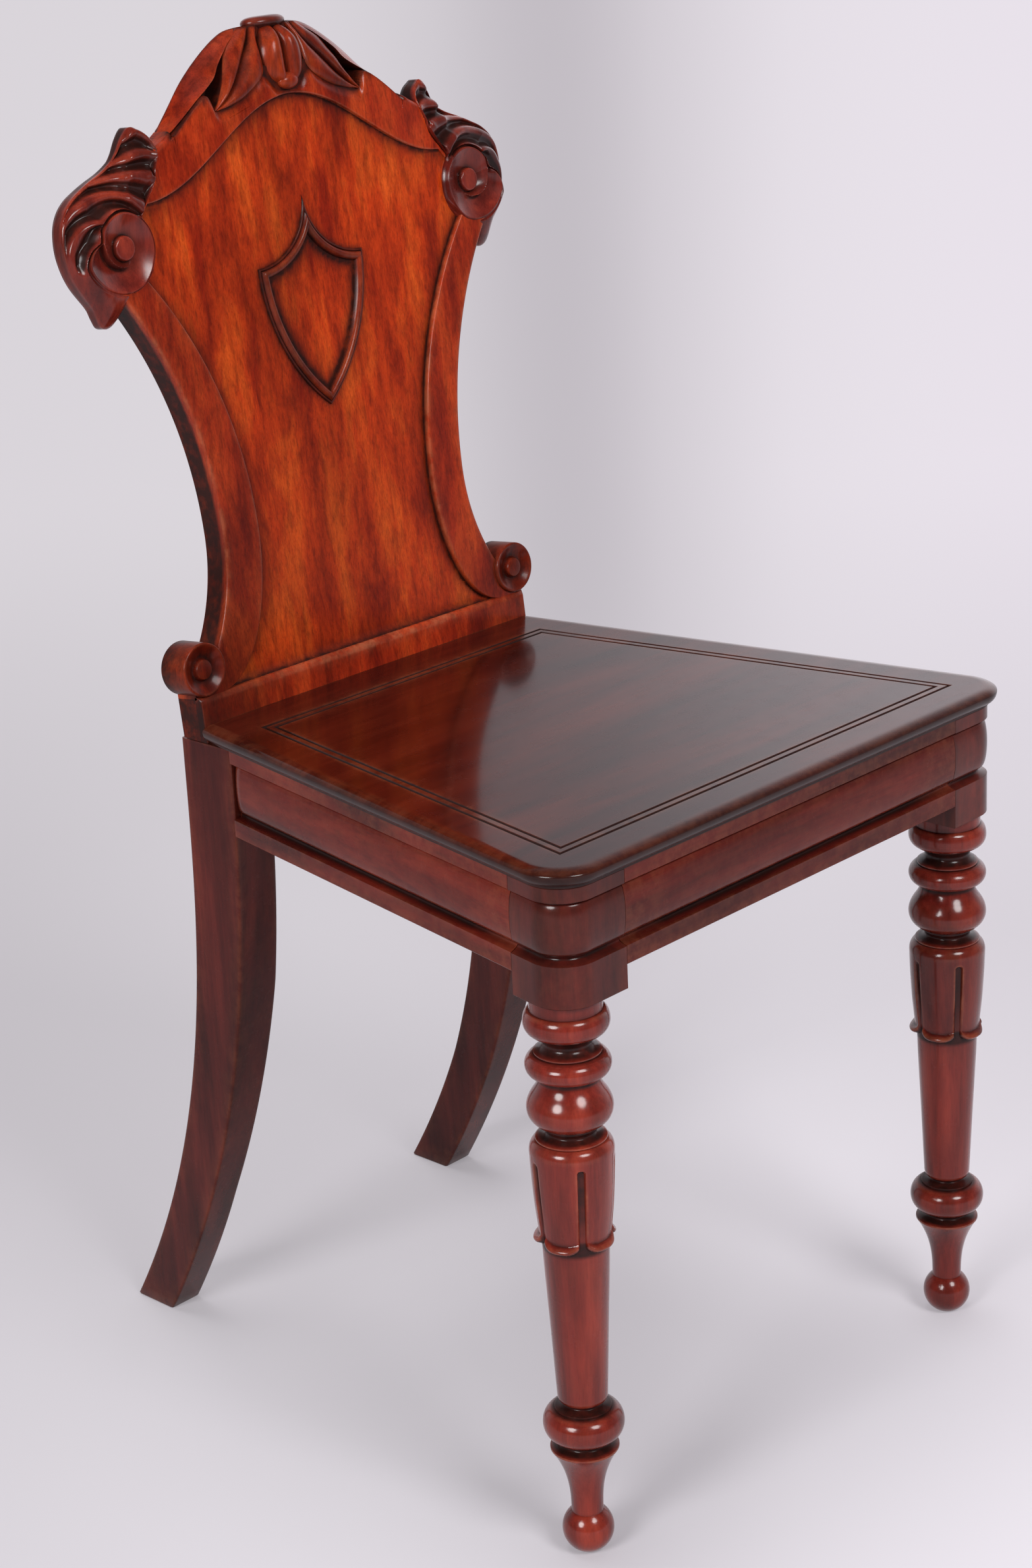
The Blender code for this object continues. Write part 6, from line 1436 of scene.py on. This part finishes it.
def scroll_body(side):
    """The scroll as rings about its eye, with the darkness of each point."""
    angles = np.unique(np.concatenate((np.linspace(-90.0, 270.0, 721)[:-1], np.linspace(96.0, 138.0, 211))))
    spirals = smooth(SPIRAL_SHARES, angles) * SCROLL_REACH
    outlines = smooth(SCROLL_OUTLINE_SHARES, angles) * SCROLL_REACH
    inner_rows = np.concatenate(([0.04], np.linspace(0.12, 1.0, 70)))
    outer_rows = np.linspace(0.0, 1.0, 80)[1:]
    rear = BACK_THICKNESS - SCROLL_REAR_BEVEL
    columns, darkness = [], []
    for degrees, spiral, outline in zip(angles, spirals, outlines):
        inner, outer = inner_rows * spiral, spiral + (outline - spiral) * outer_rows
        depth_inner, dark_inner = scroll_relief(degrees, inner, spiral)
        depth_outer, dark_outer = fluted_relief(degrees, outer, spiral, outline)
        radius = np.concatenate((inner, outer, [outline] * 4, [outline - SCROLL_REAR_BEVEL]))
        last = depth_outer[-1]
        wall = [last + (BACK_THICKNESS - last) * share for share in (0.08, 0.3, 0.7)]
        depth = np.concatenate((depth_inner, depth_outer, wall, [rear, BACK_THICKNESS]))
        fall = SCROLL_EYE_FALL * np.clip(1 - (radius / spiral) ** 2, 0.0, 1.0)
        turn = math.radians(degrees)
        columns.append(back_disc(side, SCROLL_ACROSS, SCROLL_LEVEL - fall, radius, depth, turn))
        # Painted shade on the outer wall, by the angle it faces
        shade = float(smooth(SCROLL_WALL_GLOOM, degrees))
        darkness.append(np.concatenate((dark_inner, dark_outer, [0.0, shade, shade, shade + 0.1, 0.5])))
    return loft(np.array(columns).transpose(1, 0, 2)), np.array(darkness).T.reshape(-1)


def add_scrolls(material):
    for side, word in SIDES:
        body, darkness = scroll_body(side)
        make(f"fine_{word}_scroll", [body], material, 55, f"{word}_shoulder_scroll", gloom=darkness)


# Materials


def add_node(tree, kind, settings=None, **sockets):
    """A shader node with its settings, and its inputs set or linked: a name, or i and a number."""
    made = tree.nodes.new("ShaderNode" + kind)
    for key, value in (settings or {}).items():
        setattr(made, key, value)
    for key, value in sockets.items():
        number = key[1:] if key[0] == "i" and key[1:].isdigit() else None
        socket = made.inputs[int(number)] if number else made.inputs[key.replace("_", " ")]
        if isinstance(value, bpy.types.NodeSocket):
            tree.links.new(value, socket)
        else:
            socket.default_value = value
    return made


def ramp(tree, factor, stops, kind="LINEAR"):
    """A colour ramp through stops of (place, colour or grey)."""
    made = add_node(tree, "ValToRGB", Fac=factor)
    made.color_ramp.interpolation = kind
    elements = made.color_ramp.elements
    while len(elements) < len(stops):
        elements.new(0.5)
    for element, (place, colour) in zip(elements, stops):
        element.position = place
        element.color = (*colour, 1.0) if isinstance(colour, tuple) else (colour, colour, colour, 1.0)
    return made.outputs["Color"]


def mix(tree, factor, one, two, kind="MIX"):
    one, two = ((*colour, 1.0) if isinstance(colour, tuple) else colour for colour in (one, two))
    return add_node(tree, "MixRGB", {"blend_type": kind}, Fac=factor, Color1=one, Color2=two).outputs["Color"]


def math_node(tree, kind, one, two=0.0, clamp=False):
    return add_node(tree, "Math", {"operation": kind, "use_clamp": clamp}, i0=one, i1=two).outputs[0]


def times(tree, one, two):
    return math_node(tree, "MULTIPLY", one, two)


def scaled(tree, value, factor, start):
    """A value times a factor, and then added to a start."""
    return math_node(tree, "ADD", times(tree, value, factor), start)


def noise(tree, place, scale, detail, rough=0.5, distort=0.0):
    return add_node(
        tree, "TexNoise", Vector=place, Scale=scale, Detail=detail, Roughness=rough, Distortion=distort
    ).outputs[0]


def grain(tree, place, along, stretch, *settings):
    """Noise drawn out along one axis, 0 to 2."""
    scale = tuple(stretch if axis == along else 1.0 for axis in range(3))
    return noise(tree, add_node(tree, "Mapping", Vector=place, Scale=scale).outputs[0], *settings)


def camera_axes(tree, place):
    """A place's parts to the right of the camera's line, along it and up."""
    turn = (0.0, 0.0, math.radians(CAMERA_YAW_DEG))
    turned_place = add_node(tree, "Mapping", Vector=place, Rotation=turn).outputs[0]
    return add_node(tree, "SeparateXYZ", Vector=turned_place).outputs


def new_material(name):
    """A material, its node tree, its shader and the place on the object."""
    material = bpy.data.materials.new(name)
    material.use_nodes = True
    tree = material.node_tree
    return material, tree, tree.nodes["Principled BSDF"], add_node(tree, "TexCoord").outputs["Object"]


def mahogany(name, dark, middle, light, along=2, tilt=0.0, worn=WORN_WOOD, wear=0.5, streak=1.0, gloss=0.15,
             coat=0.85, offset=0.0):
    """French polished mahogany, dark in hollows with old polish and painted shade, and thin on arrises, with
    its grain along one axis.
    """
    material, tree, shader, place = new_material(name)
    turned_place = add_node(tree, "Mapping", Vector=place, Rotation=(tilt, 0.0, 0.0), Location=(offset,) * 3)
    place = turned_place.outputs[0]

    def along_grain(layer):
        return grain(tree, place, along, *layer)

    def link(socket, name):
        tree.links.new(socket, shader.inputs[name])

    colour = ramp(tree, along_grain(BROAD_GRAIN), [(0.34, dark), (0.5, middle), (0.66, light)])
    ribbon = ramp(tree, along_grain(RIBBON_GRAIN), [(0.34, 0.5), (0.54, 1.0), (0.75, 1.12)])
    colour = mix(tree, 0.7 * streak, colour, ribbon, "MULTIPLY")
    fibre = ramp(tree, along_grain(FIBRE_GRAIN), [(0.34, 0.5), (0.58, 1.0)])
    colour = mix(tree, 0.55 * streak, colour, fibre, "MULTIPLY")
    pores = ramp(tree, along_grain(PORE_GRAIN), [(0.59, 0.0), (0.67, 1.0)])
    colour = mix(tree, times(tree, pores, 0.3 * streak), colour, tuple(v * 0.35 for v in dark))
    clouds = ramp(tree, along_grain(CLOUD_GRAIN), [(0.34, 0.62), (0.52, 1.0), (0.68, 1.12)])
    colour = mix(tree, 0.75, colour, clouds, "MULTIPLY")
    speck = noise(tree, place, *POLISH_SPECKS)
    # Old polish and painted shade in hollows: the hollow attribute draws the colour towards the dark polish
    # colour
    hollow = add_node(tree, "Attribute", {"attribute_name": "hollow"}).outputs["Fac"]
    shade = times(tree, hollow, scaled(tree, speck, 0.7, 0.62))
    colour = mix(tree, math_node(tree, "MINIMUM", shade, 0.96), colour, DARK_POLISH_AND_SHADE)
    arris = add_node(tree, "Attribute", {"attribute_name": "arris"}).outputs["Fac"]
    patchy = ramp(tree, noise(tree, place, *WEAR_PATCHES), [(0.4, 0.25), (0.6, 1.0)])
    link(mix(tree, times(tree, arris, times(tree, patchy, wear)), colour, worn), "Base Color")
    rough = ramp(tree, noise(tree, place, *GLOSS_PATCHES), [(0.3, 0.2), (0.7, 0.3)])
    link(math_node(tree, "ADD", rough, times(tree, hollow, 0.16)), "Roughness")
    waves = along_grain(WAVE_GRAIN)
    height = math_node(tree, "ADD", times(tree, waves, 0.5), times(tree, pores, -0.06))
    height = math_node(tree, "ADD", height, times(tree, fibre, 0.05))
    link(add_node(tree, "Bump", Strength=0.25, Distance=0.0007, Height=height).outputs[0], "Normal")
    link(scaled(tree, hollow, -0.5 * coat, coat), "Coat Weight")
    shader.inputs["Specular IOR Level"].default_value = WOOD_SPECULAR
    shader.inputs["Coat IOR"].default_value = POLISH_IOR
    shader.inputs["Coat Roughness"].default_value = gloss
    return material


def plain_wood(name, dark, light, along):
    """Unpolished secondary wood of the hidden parts."""
    material, tree, shader, place = new_material(name)
    wood = grain(tree, place, along, *PINE_GRAIN)
    tree.links.new(ramp(tree, wood, [(0.35, dark), (0.65, light)]), shader.inputs["Base Color"])
    tree.links.new(ramp(tree, wood, [(0.3, 0.6), (0.7, 0.8)]), shader.inputs["Roughness"])
    bump = add_node(tree, "Bump", Strength=0.25, Distance=0.0006, Height=wood)
    tree.links.new(bump.outputs[0], shader.inputs["Normal"])
    return material


def steel():
    """Dull steel of the old screws, with rust in patches."""
    material, tree, shader, place = new_material("screw_steel")
    rust = noise(tree, place, *RUST_PATCHES)
    colour = ramp(tree, rust, [(0.4, (0.35, 0.33, 0.31)), (0.65, (0.16, 0.09, 0.06))])
    tree.links.new(colour, shader.inputs["Base Color"])
    tree.links.new(ramp(tree, rust, [(0.4, 0.35), (0.65, 0.7)]), shader.inputs["Roughness"])
    shader.inputs["Metallic"].default_value = 0.9
    return material


# Stage, light and camera


def add_floor():
    """One wide pale floor, which further off also makes the pale backdrop of the photograph."""
    mesh = bpy.data.meshes.new("floor")
    turns = full_turn(FLOOR_CORNERS)
    corners = [(FLOOR_RADIUS * math.cos(turn), FLOOR_RADIUS * math.sin(turn), 0.0) for turn in turns]
    mesh.from_pydata(corners, [], [list(range(FLOOR_CORNERS))])
    material, tree, shader, place = new_material("pale_floor")
    near = ramp(tree, noise(tree, place, 0.7, 1.0), FLOOR_COLOURS)
    shader.inputs["Roughness"].default_value = 0.75
    shader.inputs["Specular IOR Level"].default_value = 0.2
    right, ahead, _ = camera_axes(tree, place)
    evened = ramp(tree, scaled(tree, right, 0.5, 0.5), FLOOR_ACROSS)
    tree.links.new(mix(tree, 1.0, near, evened, "MULTIPLY"), shader.inputs["Base Color"])
    across = math_node(tree, "DIVIDE", right, math_node(tree, "ADD", ahead, BACKDROP_EYE))
    # The backdrop's glow, with a painted soft shadow of the chair's back in its middle
    sides = ramp(tree, scaled(tree, across, 2.0, 0.5), BACKDROP_ACROSS, "B_SPLINE")
    glow = add_node(tree, "Emission", Color=sides, Strength=1.0).outputs[0]
    path = add_node(tree, "LightPath")
    seen = math_node(tree, "ADD", path.outputs["Is Camera Ray"], path.outputs["Is Glossy Ray"], clamp=True)
    off = add_node(
        tree, "MapRange", {"interpolation_type": "SMOOTHSTEP"}, Value=ahead, From_Min=GLOW_START,
        From_Max=GLOW_END, To_Min=NEAR_GLOW
    )
    amount = times(tree, seen, off.outputs[0])
    both = add_node(tree, "MixShader", Fac=amount, i1=shader.outputs[0], i2=glow).outputs[0]
    tree.links.new(both, tree.nodes["Material Output"].inputs["Surface"])
    mesh.materials.append(material)
    add_object("floor", mesh)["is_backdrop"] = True


def add_light(name, place, target, size, power, mirrored_in_polish):
    """A round softbox; those that the polish doesn't mirror stand for light from the room's walls."""
    light = bpy.data.lights.new(name, "AREA")
    light.shape = "DISK"
    light.size = size
    light.energy = power
    holder = add_object(name, light)
    holder.visible_glossy = mirrored_in_polish
    holder.location = place
    holder.rotation_euler = (Vector(target) - Vector(place)).to_track_quat("-Z", "Y").to_euler()


def add_world():
    """A glow towards the backdrop, darker in the middle and overhead, which the polish mirrors."""
    world = bpy.data.worlds.new("studio")
    bpy.context.scene.world = world
    world.use_nodes = True
    tree = world.node_tree
    right, ahead, up = camera_axes(tree, add_node(tree, "TexCoord").outputs["Generated"])
    glow = ramp(tree, scaled(tree, ahead, 0.5, 0.5), WORLD_AHEAD)
    sides = ramp(tree, scaled(tree, right, 2.5, 0.5), WORLD_ACROSS, "B_SPLINE")
    high = ramp(tree, up, WORLD_UP)
    glow = mix(tree, 1.0, mix(tree, 1.0, glow, sides, "MULTIPLY"), high, "MULTIPLY")
    tree.links.new(glow, tree.nodes["Background"].inputs["Color"])
    tree.nodes["Background"].inputs["Strength"].default_value = WORLD_STRENGTH


def add_camera():
    yaw, pitch, roll = (math.radians(v) for v in (CAMERA_YAW_DEG, CAMERA_PITCH_DEG, CAMERA_ROLL_DEG))
    ahead = Vector((math.sin(yaw) * math.cos(pitch), math.cos(yaw) * math.cos(pitch), math.sin(pitch)))
    level_right = Vector((math.cos(yaw), -math.sin(yaw), 0.0))
    level_up = level_right.cross(ahead)
    right = level_right * math.cos(roll) + level_up * math.sin(roll)
    up = level_up * math.cos(roll) - level_right * math.sin(roll)
    lens = bpy.data.cameras.new("camera")
    lens.sensor_fit = "VERTICAL"
    lens.sensor_height = CAMERA_SENSOR_MM
    lens.lens = CAMERA_LENS_MM
    camera = add_object("camera", lens)
    camera.matrix_world = Matrix.Translation(CAMERA_PLACE) @ Matrix((right, up, -ahead)).transposed().to_4x4()
    bpy.context.scene.camera = camera


def main():
    add_camera()
    wood = {name: mahogany("mahogany_" + name, **look) for name, look in WOODS.items()}
    add_seat(wood["seat"])
    add_rails(wood["rail"], wood["side_rail"])
    add_front_legs(wood["leg"])
    add_rear_legs(wood["rear_leg"])
    add_board(wood["field"])
    for add_border in (add_bottom_rail, add_stiles, add_crest_rail, add_shield, add_crest):
        add_border(wood["border"])
    add_cap(wood["carved"])
    add_scrolls(wood["carved"])
    pine = plain_wood("secondary_wood", (0.3, 0.17, 0.08), (0.45, 0.29, 0.15), 0)
    metal = steel()
    for name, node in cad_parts.items():
        for slot in node.material_slots:
            slot.material = metal if name.endswith("screw") else pine
    add_floor()
    for light in LIGHTS:
        add_light(*light)
    add_world()
    bpy.context.scene.view_settings.view_transform = "Standard"


main()
[[list(corner) for corner in box] for box in (cad_box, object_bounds())]
